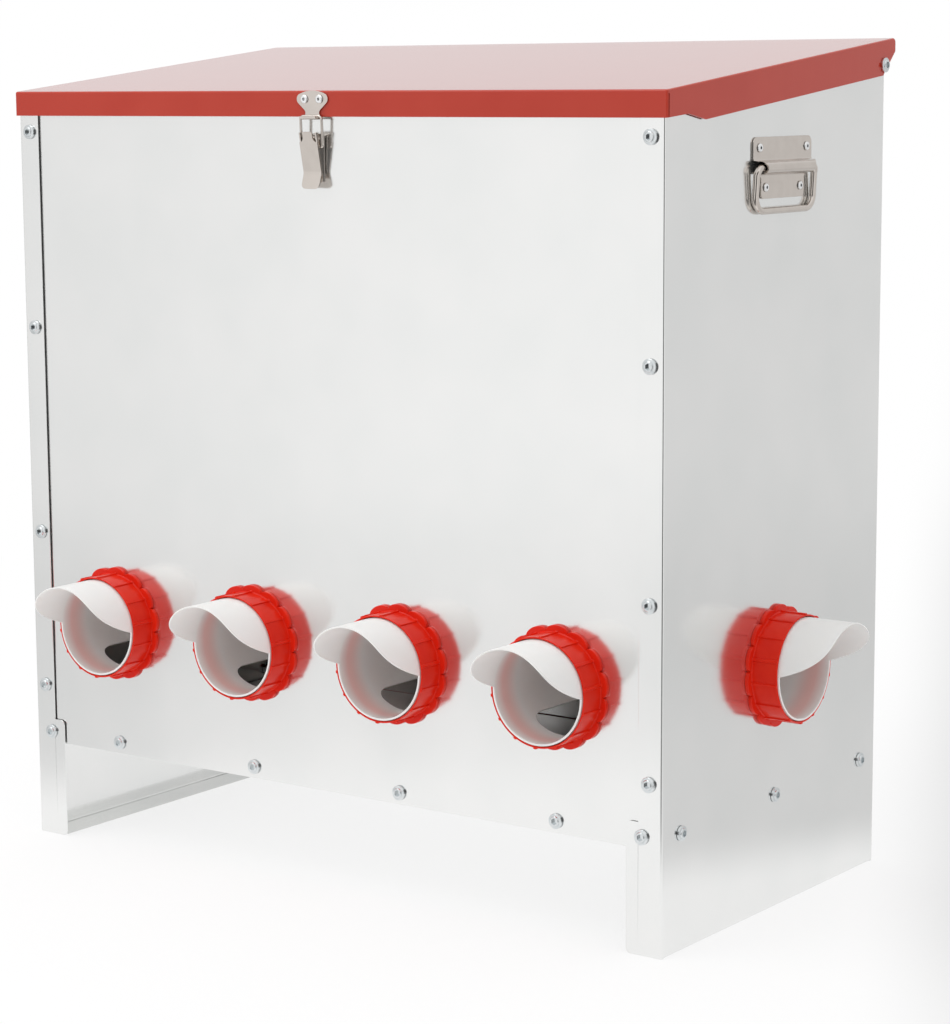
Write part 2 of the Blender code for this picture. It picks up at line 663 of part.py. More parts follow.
def lever_mesh():
    # A channel that hangs from the pin, leans in to a bend and ends in a lip for the finger.
    top = (PIN.y - LEVER_TOP_REACH, PIN.z + LEVER_TOP_RISE)
    bend = (PIN.y - LEVER_BEND_REACH, PIN.z - LEVER_BEND_DROP)
    tip = (PIN.y - LEVER_TIP_REACH, PIN.z - LEVER_TIP_DROP)
    inner = [(y + LEVER_SHEET, z) for y, z in (tip, bend, top)]
    web = plate([[top, bend, tip, *inner]], -LEVER_HALF_WIDTH, 2 * LEVER_HALF_WIDTH, ALONG_X)
    half = arc(LEVER_HALF_WIDTH - LEVER_CORNER, tip[1] + LEVER_CORNER, LEVER_CORNER, -90, 0, CORNER_STEPS)
    notch = LEVER_HALF_WIDTH - LEVER_TONGUE_HALF_WIDTH
    half += arc(LEVER_HALF_WIDTH, top[1] - notch, notch, -90, -180, CORNER_STEPS)
    half[-1] = (LEVER_TONGUE_HALF_WIDTH, top[1] + notch)
    front_view = half + [(-x, z) for x, z in reversed(half)]
    view_start = -PIN.y - CUT_MARGIN
    web = combined("INTERSECT", web, [plate([front_view], view_start, 2 * CUT_MARGIN, ALONG_Y)])
    middle = [(y + LEVER_SHEET / 2, z) for y, z in (top, bend)]
    cheek = [(middle[0][0], top[1] - GAP), (middle[1][0], bend[1] + GAP)]
    cheek += [(bend[0] + LEVER_CHEEK_BACK, bend[1] + GAP)]
    cheek += [(LINK.y + LEVER_CHEEK_BACK, LINK.z - LEVER_CHEEK_BACK)]
    cheek += arc(PIN.y, PIN.z, LEVER_CHEEK_BACK, 0, CHEEK_ARC_END, CORNER_STEPS)
    holes = [circle(PIN.y, PIN.z, PIN_RADIUS + GAP, PIN_SIDES)]
    holes += [circle(LINK.y, LINK.z, BAIL_WIRE_RADIUS + GAP, PIN_SIDES)]
    cheek_face = LEVER_HALF_WIDTH - GAP / 2
    cheeks = [
        plate([cheek, *holes], start, LEVER_SHEET, ALONG_X)
        for start in (-cheek_face, cheek_face - LEVER_SHEET)
    ]
    return combined("UNION", web, cheeks)


def wire_curve(name, points, radius, resolution):
    curve = bpy.data.curves.new(name, "CURVE")
    curve.dimensions = "3D"
    curve.bevel_depth = radius
    curve.bevel_resolution = resolution
    curve.use_fill_caps = True
    spline = curve.splines.new("POLY")
    spline.points.add(len(points) - 1)
    for point, place in zip(spline.points, points):
        point.co = (*place, 1.0)
    return curve


def bail_curve():
    # The bail hangs on the lever at the link. Its crossbar sits in the catch's hook.
    leg = LEVER_HALF_WIDTH + BAIL_WIRE_RADIUS + GAP
    inner_end = BASE_HALF_WIDTH + GAP
    rise = math.hypot(BAR_Y - LINK.y, BAR_Z - LINK.z)
    lean = Vector((0.0, BAR_Y - LINK.y, BAR_Z - LINK.z)) / rise
    bend = BAIL_BEND_RADIUS
    low_bend = BAIL_LINK_BEND
    low = arc(leg - low_bend, low_bend, low_bend, -90, 0, CORNER_STEPS)
    high = arc(leg - bend, rise - bend, bend, 0, 90, CORNER_STEPS)
    half = [(inner_end, 0.0), *low, *high]
    path = half + [(-x, along) for x, along in reversed(half)]
    points = [(x, lean.y * along, lean.z * along) for x, along in path]
    return wire_curve("latch_bail", points, BAIL_WIRE_RADIUS, 1)


def catch_mesh():
    # A riveted plate on the lid whose neck turns into a hook that opens upward.
    seat = -LID_FRONT + GAP
    half_head, half_neck = CATCH_HEAD_WIDTH / 2, CATCH_NECK_WIDTH / 2
    middle = LID_FRONT_BOTTOM + CATCH_HEAD_RISE
    corner = CATCH_HEAD_HEIGHT / 2
    hook_low = BAR_Z - BAIL_WIRE_RADIUS - GAP - CATCH_SHEET
    head = arc(half_head - corner, middle, corner, -CATCH_HEAD_TURN, 90, 2 * CORNER_STEPS)
    head += [(-x, z) for x, z in reversed(head)]
    head += [(-half_neck, middle - CATCH_NECK_DROP), (-half_neck, hook_low)]
    head += [(half_neck, hook_low), (half_neck, middle - CATCH_NECK_DROP)]
    spacing = CATCH_RIVET_SPACING / 2
    holes = [circle(x, middle, RIVET_HOLE_RADIUS) for x in (-spacing, spacing)]
    sheet = plate([head, *holes], seat, CATCH_SHEET, ALONG_Y)
    back = -seat - CATCH_SHEET / 2
    inner_front = BAR_Y - BAIL_WIRE_RADIUS - CATCH_HOOK_ROOM
    front = inner_front - CATCH_SHEET
    hook = [(back, hook_low + GAP), (back, hook_low + CATCH_SHEET)]
    hook += [(inner_front, hook_low + CATCH_SHEET), (inner_front, BAR_Z), (front, BAR_Z)]
    hook += [(front, hook_low + GAP)]
    hook_mesh = plate([hook], GAP - half_neck, 2 * (half_neck - GAP), ALONG_X)
    return combined("UNION", sheet, [hook_mesh])


def handle_plate_mesh():
    # Own X runs along the body's side. The barrel that the handle turns in is centred on X and Y.
    wing, tail, corner = HANDLE_WING_HALF_WIDTH, HANDLE_TAIL_HALF_WIDTH, HANDLE_CORNER
    half = arc(tail - corner, -HANDLE_TAIL_BOTTOM + corner, corner, -90, 0, CORNER_STEPS)
    half += [(tail, HANDLE_WING_BOTTOM - HANDLE_SHEET), (wing, HANDLE_WING_BOTTOM)]
    half += arc(wing - corner, HANDLE_WING_TOP - corner, corner, 0, 90, CORNER_STEPS)
    outline = half + [(-x, y) for x, y in reversed(half)]
    holes = [circle(x, y, RIVET_HOLE_RADIUS) for x, y in HANDLE_RIVETS]
    sheet = plate([outline, *holes], GAP, HANDLE_SHEET)
    bore = HANDLE_WIRE_RADIUS + HANDLE_WIRE_CLEARANCE
    profile = [
        (BARREL_RADIUS, BARREL_HALF_LENGTH),
        (BARREL_RADIUS, -BARREL_HALF_LENGTH),
        (bore, -BARREL_HALF_LENGTH),
        (bore, BARREL_HALF_LENGTH),
    ]
    barrel = moved(
        turned(profile, BARREL_SIDES, closed=True),
        Matrix.Translation((0, 0, BARREL_STANDOFF)) @ Matrix.Rotation(math.pi / 2, 4, "Y"),
    )
    return combined("UNION", sheet, [barrel])


def handle_bail_curve():
    low, high, span = HANDLE_LOW_BEND, HANDLE_TOP_BEND, HANDLE_HALF_SPAN
    half = [(BARREL_HALF_LENGTH - HANDLE_END_DEPTH, 0.0)]
    half += arc(span - high, -high, high, 90, 0, CORNER_STEPS)
    half += arc(span - low, low - HANDLE_LENGTH, low, 0, -90, CORNER_STEPS)
    path = half + [(-x, y) for x, y in reversed(half)]
    down, inward = math.cos(HANDLE_LEAN), math.sin(HANDLE_LEAN)
    points = [(x, y * down, y * inward) for x, y in path]
    return wire_curve("handle_bail", points, HANDLE_WIRE_RADIUS, 1)


def add_body():
    right = side_panel_mesh()
    left = mirrored(right)
    add_piece("side_panel_left", left, GALVANISED)
    add_piece("side_panel_right", right, GALVANISED)
    add_piece("front_panel", front_panel_mesh(), GALVANISED)
    add_piece("back_panel", back_panel_mesh(), GALVANISED)
    add_piece("floor_panel", floor_panel_mesh(), GALVANISED)


def add_screws():
    layer = SHEET + GAP
    column = screw_mesh(GAP + PANEL_SETBACK + layer)
    leg = screw_mesh(GAP + PANEL_SETBACK + 2 * layer)
    row = screw_mesh(GAP + 2 * layer)
    for name, side in (("left", -1), ("right", 1)):
        for number, height in enumerate(COLUMN_HEIGHTS, 1):
            place = (side * COLUMN_X, FRONT - GAP, height)
            add_piece(f"front_screw_{name}_{number}", column, ZINC, place, FACING["front"])
        place = (side * LEG_X, FRONT - GAP, FLOOR_SCREW_HEIGHT)
        add_piece(f"leg_screw_{name}", leg, ZINC, place, FACING["front"])
        for number, y in enumerate(SIDE_SCREW_YS, 1):
            place = (side * (SIDE + GAP), y, FLOOR_SCREW_HEIGHT)
            add_piece(f"floor_screw_{name}_{number}", row, ZINC, place, FACING[name])
    for number, x in enumerate(PORT_XS, 1):
        place = (x, PANEL_FACE - GAP, FLOOR_SCREW_HEIGHT)
        add_piece(f"floor_screw_front_{number}", row, ZINC, place, FACING["front"])


def add_lid():
    add_moving_piece("lid", lid_mesh(), RED_PAINT, PIVOT)
    pivot = screw_mesh(GAP + SHEET + LID_SIDE_CLEARANCE + SHEET + GAP)
    for name, side in (("left", -1), ("right", 1)):
        place = (side * (LID_WIDTH / 2 + GAP), PIVOT.y, PIVOT.z)
        add_piece(f"lid_pivot_screw_{name}", pivot, ZINC, place, FACING[name])


def add_ports():
    tube = port_tube_mesh()
    ring = lock_ring_mesh()
    places = [(f"front_{number}", (x, PANEL_FACE), "front") for number, x in enumerate(PORT_XS, 1)]
    places += [("left", (-SIDE, 0.0), "left"), ("right", (SIDE, 0.0), "right")]
    for name, (x, y), face in places:
        place = (x, y, PORT_HEIGHT)
        add_piece(f"port_tube_{name}", tube, WHITE_PLASTIC, place, FACING[face])
        add_piece(f"lock_ring_{name}", ring, RED_PLASTIC, place, FACING[face])


def add_latch():
    add_piece("latch_base", latch_base_mesh(), NICKEL)
    half = LEVER_HALF_WIDTH
    pin_profile = [(0.0, half), (PIN_RADIUS, half), (PIN_RADIUS, -half), (0.0, -half)]
    pin = turned(pin_profile, PIN_SIDES)
    add_piece("latch_pin", pin, NICKEL, PIN, (0.0, math.pi / 2, 0.0))
    add_moving_piece("latch_lever", lever_mesh(), NICKEL, PIN)
    add_piece("latch_bail", bail_curve(), NICKEL, LINK)
    add_piece("latch_catch", catch_mesh(), NICKEL)
    rivet = rivet_mesh(GAP + CATCH_SHEET + GAP + SHEET + GAP, CATCH_RIVET_TAIL)
    for name, side in (("left", -1), ("right", 1)):
        place = Vector((side * CATCH_RIVET_SPACING / 2, LID_FRONT, LID_FRONT_BOTTOM + CATCH_HEAD_RISE))
        place.y -= GAP + CATCH_SHEET + GAP
        add_piece(f"catch_rivet_{name}", rivet, NICKEL, place, FACING["front"])


def add_handles():
    base = handle_plate_mesh()
    bail = handle_bail_curve()
    rivet = rivet_mesh(GAP + HANDLE_SHEET + GAP + SHEET + GAP)
    for name, side in (("left", -1), ("right", 1)):
        facing = FACING[name]
        place = (side * SIDE, 0.0, HANDLE_CENTRE_HEIGHT)
        add_piece(f"handle_plate_{name}", base, NICKEL, place, facing)
        axis = (side * (SIDE + BARREL_STANDOFF), 0.0, HANDLE_CENTRE_HEIGHT)
        add_piece(f"handle_bail_{name}", bail, NICKEL, axis, facing)
        head = side * (SIDE + GAP + HANDLE_SHEET + GAP)
        for number, (along, up) in enumerate(HANDLE_RIVETS, 1):
            spot = (head, side * along, HANDLE_CENTRE_HEIGHT + up)
            add_piece(f"handle_rivet_{name}_{number}", rivet, NICKEL, spot, facing)


add_body()
add_screws()
add_lid()
add_ports()
add_latch()
add_handles()
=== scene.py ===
# Gravity feeder for poultry: galvanised sheet hopper, red lid, six feeding ports with visors.
# Shapes are worked out in millimetres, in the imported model's own frame, and placed in metres.

import json
import math

import bmesh
import bpy
from mathutils import Matrix, Vector


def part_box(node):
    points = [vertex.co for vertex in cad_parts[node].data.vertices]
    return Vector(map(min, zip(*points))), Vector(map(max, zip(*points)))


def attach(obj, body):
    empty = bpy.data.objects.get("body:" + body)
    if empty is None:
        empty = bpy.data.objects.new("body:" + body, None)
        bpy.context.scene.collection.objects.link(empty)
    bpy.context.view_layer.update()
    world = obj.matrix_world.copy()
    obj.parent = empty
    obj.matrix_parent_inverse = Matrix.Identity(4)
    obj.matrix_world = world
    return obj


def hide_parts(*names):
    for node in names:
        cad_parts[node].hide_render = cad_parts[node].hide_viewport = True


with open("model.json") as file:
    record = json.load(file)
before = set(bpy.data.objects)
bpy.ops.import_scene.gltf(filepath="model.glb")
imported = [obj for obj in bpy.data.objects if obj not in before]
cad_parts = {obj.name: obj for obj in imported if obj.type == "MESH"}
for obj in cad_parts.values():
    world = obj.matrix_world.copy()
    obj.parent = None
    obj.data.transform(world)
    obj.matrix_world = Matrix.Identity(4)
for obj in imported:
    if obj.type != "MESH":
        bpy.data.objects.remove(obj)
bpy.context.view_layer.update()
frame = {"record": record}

metres = Matrix.Scale(0.001, 4)
smoothStep = {"interpolation_type": "SMOOTHSTEP"}
quarter = math.pi / 2
outward = {  # turns a piece's own Z out of a face of the body and its own Y upward
    "front": Matrix.Rotation(quarter, 4, "X"),
    "right": Matrix.Rotation(quarter, 4, "Z") @ Matrix.Rotation(quarter, 4, "X"),
    "back": Matrix.Rotation(math.pi, 4, "Z") @ Matrix.Rotation(quarter, 4, "X"),
    "left": Matrix.Rotation(-quarter, 4, "Z") @ Matrix.Rotation(quarter, 4, "X"),
}


def boxOf(node):
    low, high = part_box(node)
    return low * 1000, high * 1000


def jointAt(name):
    joint = next(j for j in frame["record"]["behaviour"]["joints"] if j["name"] == name)
    return Vector(joint["pos_m"]) * 1000


# places that several pieces share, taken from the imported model
wallLow, wallHigh = boxOf("side_panel_right")
panelLow, panelHigh = boxOf("front_panel")
lidLow, lidHigh = boxOf("lid")
middleY = (wallLow.y + wallHigh.y) / 2
insideBody = Vector((0, middleY, 300))
backFace = 2 * middleY - panelLow.y  # outer face of the back panel
pivot = jointAt("lid_hinge")
pin = jointAt("latch_lever_hinge")
link = jointAt("latch_bail_hinge")
handlePivot = jointAt("handle_right_hinge")
slope = math.radians(6.5)  # of the lid, falling to the front
sheetWall = 0.8
fitGap = 0.3  # between pieces that are screwed or riveted together
spare = 20.0  # how far a cutter runs past what it cuts
screwHole = 2.9
rivetHole = 2.2
portHole = 38.25
portSides = 96
columnX = 286.5
columnHeights = (562.54, 410.0, 247.0, 122.5)
legX = 281.0
rowZ = 84.8
portXs = (-208.5, -69.5, 69.5, 208.5)
portZ = 181.0
sideScrewYs = (middleY - 129.0, middleY, middleY + 129.0)
handleRivets = ((-32.7, 13.7), (32.7, 13.7), (-24.0, -13.8), (24.0, -13.8))
latchRivets = (-14.0, -26.0)  # below the pin


def lidTop(y):
    return lidHigh.z - (lidHigh.y - y) * math.tan(slope)


def linear(code):
    # an sRGB hex colour as linear values
    channels = [int(code[place:place + 2], 16) / 255 for place in (1, 3, 5)]
    return [c / 12.92 if c <= 0.04045 else ((c + 0.055) / 1.055) ** 2.4 for c in channels] + [1.0]


def addNode(tree, kind, settings=None, values=None, links=None):
    # a link comes from an output, or from a node whose first output is meant
    node = tree.nodes.new(kind)
    for key, value in (settings or {}).items():
        setattr(node, key, value)
    for key, value in (values or {}).items():
        node.inputs[key].default_value = value
    for key, source in (links or {}).items():
        tree.links.new(firstOutput(source), node.inputs[key])
    return node


def firstOutput(source):
    return source.outputs[0] if isinstance(source, bpy.types.Node) else source


def newMaterial(name, values):
    # an empty material with its shader, and where a point lies on the piece
    material = bpy.data.materials.new(name)
    material.use_nodes = True
    tree = material.node_tree
    tree.nodes.clear()
    output = addNode(tree, "ShaderNodeOutputMaterial")
    shader = addNode(tree, "ShaderNodeBsdfPrincipled", values=values)
    tree.links.new(firstOutput(shader), output.inputs["Surface"])
    place = addNode(tree, "ShaderNodeTexCoord").outputs["Object"]
    return material, tree, shader, place


def connect(tree, shader, colour, roughness=None, normal=None):
    for key, source in (("Base Color", colour), ("Roughness", roughness), ("Normal", normal)):
        if source:
            tree.links.new(firstOutput(source), shader.inputs[key])


def mottled(tree, place, scale, detail, low, high, rough=None):
    # soft patches between two colours, their pattern, and if wanted the same between two roughnesses
    patches = addNode(tree, "ShaderNodeTexNoise", None, {"Scale": scale, "Detail": detail}, {"Vector": place})
    share = addNode(tree, "ShaderNodeMapRange", None, {"From Min": 0.3, "From Max": 0.7}, {"Value": patches})
    colour = addNode(
        tree, "ShaderNodeMix", {"data_type": "RGBA"}, {6: linear(low), 7: linear(high)}, {0: share}
    ).outputs[2]
    if rough:
        span = {"From Min": 0.3, "From Max": 0.7, "To Min": rough[0], "To Max": rough[1]}
        rough = addNode(tree, "ShaderNodeMapRange", None, span, {"Value": patches})
    return colour, patches, rough


def galvanisedSheet():
    # Hot-dip galvanised steel sheet, skin-passed: pale grey zinc that mirrors what stands on it and
    # blurs what is further off, with clouds 70 mm wide and faint rolling lines. The real lines are
    # 0.1 mm apart and are drawn 1 mm apart, so that they show at all.
    material, tree, shader, place = newMaterial("galvanised sheet", {"Metallic": 0.94})
    colour, _, rough = mottled(tree, place, 14.0, 3.0, "#EDEEED", "#F2F2F1", (0.13, 0.17))
    stretched = addNode(tree, "ShaderNodeMapping", None, {"Scale": (900.0, 900.0, 12.0)}, {"Vector": place})
    lines = addNode(tree, "ShaderNodeTexNoise", None, {"Scale": 1.0, "Detail": 2.0}, {"Vector": stretched})
    bump = addNode(tree, "ShaderNodeBump", None, {"Strength": 0.02, "Distance": 0.0001}, {"Height": lines})
    connect(tree, shader, colour, rough, bump)
    return material


def redCoatedSheet():
    # Polyester coating, baked on steel sheet in two layers: even brick red, smooth, turning pale grey
    # where it is seen along the surface, with a fine orange peel about 1 mm wide.
    material, tree, shader, place = newMaterial("baked red coating", {
        "IOR": 1.5, "Specular IOR Level": 0.1, "Roughness": 0.2,
        "Coat Weight": 1.0, "Coat IOR": 1.35, "Coat Roughness": 0.05,
    })
    colour = mottled(tree, place, 25.0, 2.0, "#BE3623", "#C23B28")[0]
    peel = addNode(tree, "ShaderNodeTexNoise", None, {"Scale": 900.0, "Detail": 1.0}, {"Vector": place})
    bump = addNode(tree, "ShaderNodeBump", None, {"Strength": 0.04, "Distance": 0.0002}, {"Height": peel})
    connect(tree, shader, colour, None, bump)
    return material


def redPolypropylene():
    # Injection moulded polypropylene: saturated red, satin, with a little light under the skin and
    # flow marks about 15 mm long.
    settings = {
        "IOR": 1.49, "Roughness": 0.3, "Specular IOR Level": 0.2, "Subsurface Weight": 0.12,
        "Subsurface Scale": 0.003, "Subsurface Radius": (1.0, 0.25, 0.15),
    }
    material, tree, shader, place = newMaterial("moulded red polypropylene", settings)
    colour, flow = mottled(tree, place, 60.0, 2.0, "#E32410", "#EA2E17")[:2]
    bump = addNode(tree, "ShaderNodeBump", None, {"Strength": 0.05, "Distance": 0.0005}, {"Height": flow})
    connect(tree, shader, colour, None, bump)
    return material


def whitePolypropylene():
    # Injection moulded natural polypropylene: milky white with a soft sheen. Its thin wall lets light
    # through, and the pink glow of red light coming through the sleeve round it is painted into its colour.
    settings = {
        "IOR": 1.49, "Roughness": 0.36, "Subsurface Weight": 0.3,
        "Subsurface Scale": 0.004, "Subsurface Radius": (1.0, 0.9, 0.85),
    }
    material, tree, shader, place = newMaterial("moulded white polypropylene", settings)
    plain, flow = mottled(tree, place, 45.0, 2.0, "#FCFBF8", "#FEFDFB")[:2]
    # how far a point stands out of the front or of a side
    parts = addNode(tree, "ShaderNodeSeparateXYZ", links={"Vector": place}).outputs
    aside = addNode(tree, "ShaderNodeMath", {"operation": "ABSOLUTE"}, links={0: parts["X"]})
    sideReach = addNode(tree, "ShaderNodeMath", {"operation": "SUBTRACT"}, {1: wallHigh.x / 1000}, {0: aside})
    frontReach = addNode(
        tree, "ShaderNodeMath", {"operation": "SUBTRACT"}, {0: panelLow.y / 1000}, {1: parts["Y"]}
    )
    reach = addNode(tree, "ShaderNodeMath", {"operation": "MAXIMUM"}, links={0: sideReach, 1: frontReach})
    # the painted pink glow comes in at the sheet's face and is gone at the sleeve's top, 24 mm further out
    rise = addNode(
        tree, "ShaderNodeMapRange", smoothStep, {"From Min": -0.006, "From Max": 0.012}, {"Value": reach}
    )
    fall = addNode(
        tree, "ShaderNodeMapRange", None,
        {"From Min": 0.014, "From Max": 0.024, "To Min": 1.0, "To Max": 0.0}, {"Value": reach},
    )
    paintedSleeveGlow = addNode(tree, "ShaderNodeMath", {"operation": "MULTIPLY"}, links={0: rise, 1: fall})
    # painted glow: pink mixed into the base colour where red light comes through the sleeve
    colour = addNode(
        tree, "ShaderNodeMix", {"data_type": "RGBA"}, {7: linear("#FFD0CB")}, {0: paintedSleeveGlow, 6: plain}
    ).outputs[2]
    bump = addNode(tree, "ShaderNodeBump", None, {"Strength": 0.04, "Distance": 0.0005}, {"Height": flow})
    connect(tree, shader, colour, None, bump)
    return material


def zincPlatedSteel():
    # Cold headed steel screws, bright zinc plated: cool silver with a tight reflection and a bloom
    # of spots about 3 mm wide.
    material, tree, shader, place = newMaterial("bright zinc plating", {"Metallic": 1.0})
    colour, _, rough = mottled(tree, place, 350.0, 2.0, "#D2D7D9", "#E0E3E4", (0.12, 0.2))
    connect(tree, shader, colour, rough)
    return material


def nickelPlatedSteel():
    # Pressed steel, tumbled and nickel plated: warm silver, glossy, with soft rubbing marks about
    # 8 mm long.
    material, tree, shader, place = newMaterial("nickel plated pressing", {"Metallic": 1.0})
    colour, _, rough = mottled(tree, place, 120.0, 2.0, "#D1C9C2", "#D6CEC7", (0.13, 0.17))
    connect(tree, shader, colour, rough)
    return material


def aluminiumRivet():
    # Blind rivets of drawn aluminium alloy: white metal, satin, with fine drawing lines 0.4 mm apart.
    material, tree, shader, place = newMaterial("drawn aluminium", {"Metallic": 0.9})
    lines = addNode(tree, "ShaderNodeTexNoise", None, {"Scale": 2500.0, "Detail": 1.0}, {"Vector": place})
    colour = addNode(
        tree, "ShaderNodeMix", {"data_type": "RGBA"}, {6: linear("#F0F1F2"), 7: linear("#F6F6F6")}, {0: lines}
    ).outputs[2]
    rough = addNode(
        tree, "ShaderNodeMapRange", None, {"From Min": 0.3, "From Max": 0.7, "To Min": 0.14, "To Max": 0.22},
        {"Value": lines},
    )
    connect(tree, shader, colour, rough)
    return material


finishes = {
    "galvanised_steel": galvanisedSheet(),
    "red_paint": redCoatedSheet(),
    "red_plastic": redPolypropylene(),
    "white_plastic": whitePolypropylene(),
    "zinc_screws": zincPlatedSteel(),
    "nickel_steel": nickelPlatedSteel(),
    "rivets": aluminiumRivet(),
}
print("finishes made")


def meshFrom(work, name="shape"):
    mesh = bpy.data.meshes.new(name)
    work.to_mesh(mesh)
    work.free()
    return mesh


def addObject(data, name="helper"):
    obj = bpy.data.objects.new(name, data)
    bpy.context.scene.collection.objects.link(obj)
    return obj


def applied(obj):
    # the mesh that an object's modifiers or curve settings give
    graph = bpy.context.evaluated_depsgraph_get()
    graph.update()
    mesh = bpy.data.meshes.new_from_object(obj.evaluated_get(graph), depsgraph=graph)
    bpy.data.objects.remove(obj, do_unlink=True)
    return mesh


def thickened(work, wall, inside):
    # gives a sheet its wall on the side that faces the point inside
    bmesh.ops.recalc_face_normals(work, faces=work.faces)
    facing = sum((f.calc_center_median() - inside).dot(f.normal) * f.calc_area() for f in work.faces)
    if facing < 0:
        bmesh.ops.reverse_faces(work, faces=work.faces)
    obj = addObject(meshFrom(work))
    sheet = obj.modifiers.new("wall", "SOLIDIFY")
    sheet.thickness = wall
    sheet.offset = -1.0
    sheet.use_even_offset = True
    return applied(obj)


def cutBy(mesh, cutter, operation="DIFFERENCE"):
    # cuts a closed mesh with a bmesh of closed cutters, or joins or keeps what both share
    obj = addObject(mesh)
    other = addObject(meshFrom(cutter))
    cut = obj.modifiers.new("cut", "BOOLEAN")
    cut.operation = operation
    cut.solver = "EXACT"
    cut.object = other
    result = applied(obj)
    bpy.data.objects.remove(other, do_unlink=True)
    return result


def addBlock(work, low, high):
    # a box between two corners
    low, high = Vector(low), Vector(high)
    place = Matrix.Translation((low + high) / 2) @ Matrix.Diagonal((*(high - low), 1.0))
    bmesh.ops.create_cube(work, size=1.0, matrix=place)


def addDrill(work, centre, turn, radius, depth=12.0, sides=32):
    # a round cutter along the Z axis that turn gives
    bmesh.ops.create_cone(
        work, cap_ends=True, segments=sides, radius1=radius, radius2=radius, depth=depth,
        matrix=Matrix.Translation(centre) @ turn,
    )


def addPiece(name, mesh, finish, node=None, place=Matrix(), body="feeder_body", sharp=32):
    # places a mesh that is in millimetres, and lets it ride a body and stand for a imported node
    nodes = [node] if node else []
    work = bmesh.new()
    work.from_mesh(mesh)
    bmesh.ops.transform(work, matrix=metres @ place, verts=work.verts)
    bmesh.ops.remove_doubles(work, verts=work.verts, dist=1e-6)
    bmesh.ops.recalc_face_normals(work, faces=work.faces)
    placed = meshFrom(work, name)
    placed.materials.append(finishes[finish])
    placed.shade_smooth()
    placed.set_sharp_from_angle(angle=math.radians(sharp))
    obj = addObject(placed, name)
    even = obj.modifiers.new("flatFaces", "WEIGHTED_NORMAL")  # large faces stay flat beside rounded edges
    even.keep_sharp = True
    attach(obj, body)
    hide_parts(*nodes)
    return obj


def edgesAlong(work, axis, test):
    # straight edges that run along an axis, picked by a test of their middle
    found = []
    for edge in work.edges:
        run = (edge.verts[1].co - edge.verts[0].co).normalized()
        if abs(run[axis]) > 0.99 and test((edge.verts[0].co + edge.verts[1].co) / 2):
            found.append(edge)
    return found


def roundEdges(work, edges, radius, steps=4):
    bmesh.ops.bevel(
        work, geom=edges, offset=radius, segments=steps, affect="EDGES", profile=0.5, material=-1
    )


def easedEdges(mesh, radius=0.25):
    # takes the sharpness off a sheet's cut edges, so that they catch the light as a line
    work = bmesh.new()
    work.from_mesh(mesh)
    bmesh.ops.remove_doubles(work, verts=work.verts, dist=1e-4)
    sharp = [edge for edge in work.edges if edge.is_manifold and edge.calc_face_angle() > 1.2]
    roundEdges(work, sharp, radius, 2)
    return meshFrom(work)


def chain(work, points):
    # a few vertices joined in a row
    row = [work.verts.new(point) for point in points]
    return [work.edges.new(pair) for pair in zip(row, row[1:])]


def drawOut(work, edges, way):
    # pulls a row of edges into a sheet
    pulled = bmesh.ops.extrude_edge_only(work, edges=edges)["geom"]
    fresh = [item for item in pulled if isinstance(item, bmesh.types.BMVert)]
    bmesh.ops.translate(work, vec=way, verts=fresh)
    return fresh


def cutPlane(work, point, normal, dropOuter=False):
    geometry = work.verts[:] + work.edges[:] + work.faces[:]
    bmesh.ops.bisect_plane(
        work, geom=geometry, plane_co=point, plane_no=normal, clear_outer=dropOuter
    )


def curvePoints(centre, radii, start, stop, steps):
    # points of a part of an ellipse, in degrees
    points = []
    for step in range(steps + 1):
        turn = math.radians(start + (stop - start) * step / steps)
        points.append((centre[0] + radii[0] * math.cos(turn), centre[1] + radii[1] * math.sin(turn)))
    return points


def mirroredOutline(half):
    return half + [(-x, y) for x, y in reversed(half)]


def plateFrom(outline, start, thickness, turn=Matrix()):
    # a flat plate from its outline in X and Y, laid by turn
    work = bmesh.new()
    face = work.faces.new([work.verts.new((x, y, start)) for x, y in outline])
    pulled = bmesh.ops.extrude_face_region(work, geom=[face])["geom"]
    raised = [item for item in pulled if isinstance(item, bmesh.types.BMVert)]
    bmesh.ops.translate(work, vec=(0, 0, thickness), verts=raised)
    bmesh.ops.transform(work, matrix=turn, verts=work.verts)
    bmesh.ops.recalc_face_normals(work, faces=work.faces)
    return work


def trimmed(sheet, outline):
    # what a sheet keeps inside an outline given by its right half
    return cutBy(sheet, plateFrom(mirroredOutline(outline), -spare, 3 * spare), "INTERSECT")


def wireMesh(points, radius):
    # a round wire along a row of points
    curve = bpy.data.curves.new("wire", "CURVE")
    curve.dimensions = "3D"
    curve.bevel_depth = radius
    curve.bevel_resolution = 5
    curve.use_fill_caps = True
    spline = curve.splines.new("POLY")
    spline.points.add(len(points) - 1)
    for point, place in zip(spline.points, points):
        point.co = (*place, 1.0)
    return applied(addObject(curve))


def nearlyOn(value, target, slack=0.01):
    return abs(value - target) < slack


sidePanel = {
    "bend": 2.0,  # outer radius of the folds
    "wideFlange": 29.8,
    "narrowFlange": 19.7,
    "stepHeight": 95.0,
    "stepRounding": 4.0,
    "footFlange": 27.0,
    "footRelief": 4.0,  # cut-out in the corner where three folds would meet
    "topGap": 2.5,
}


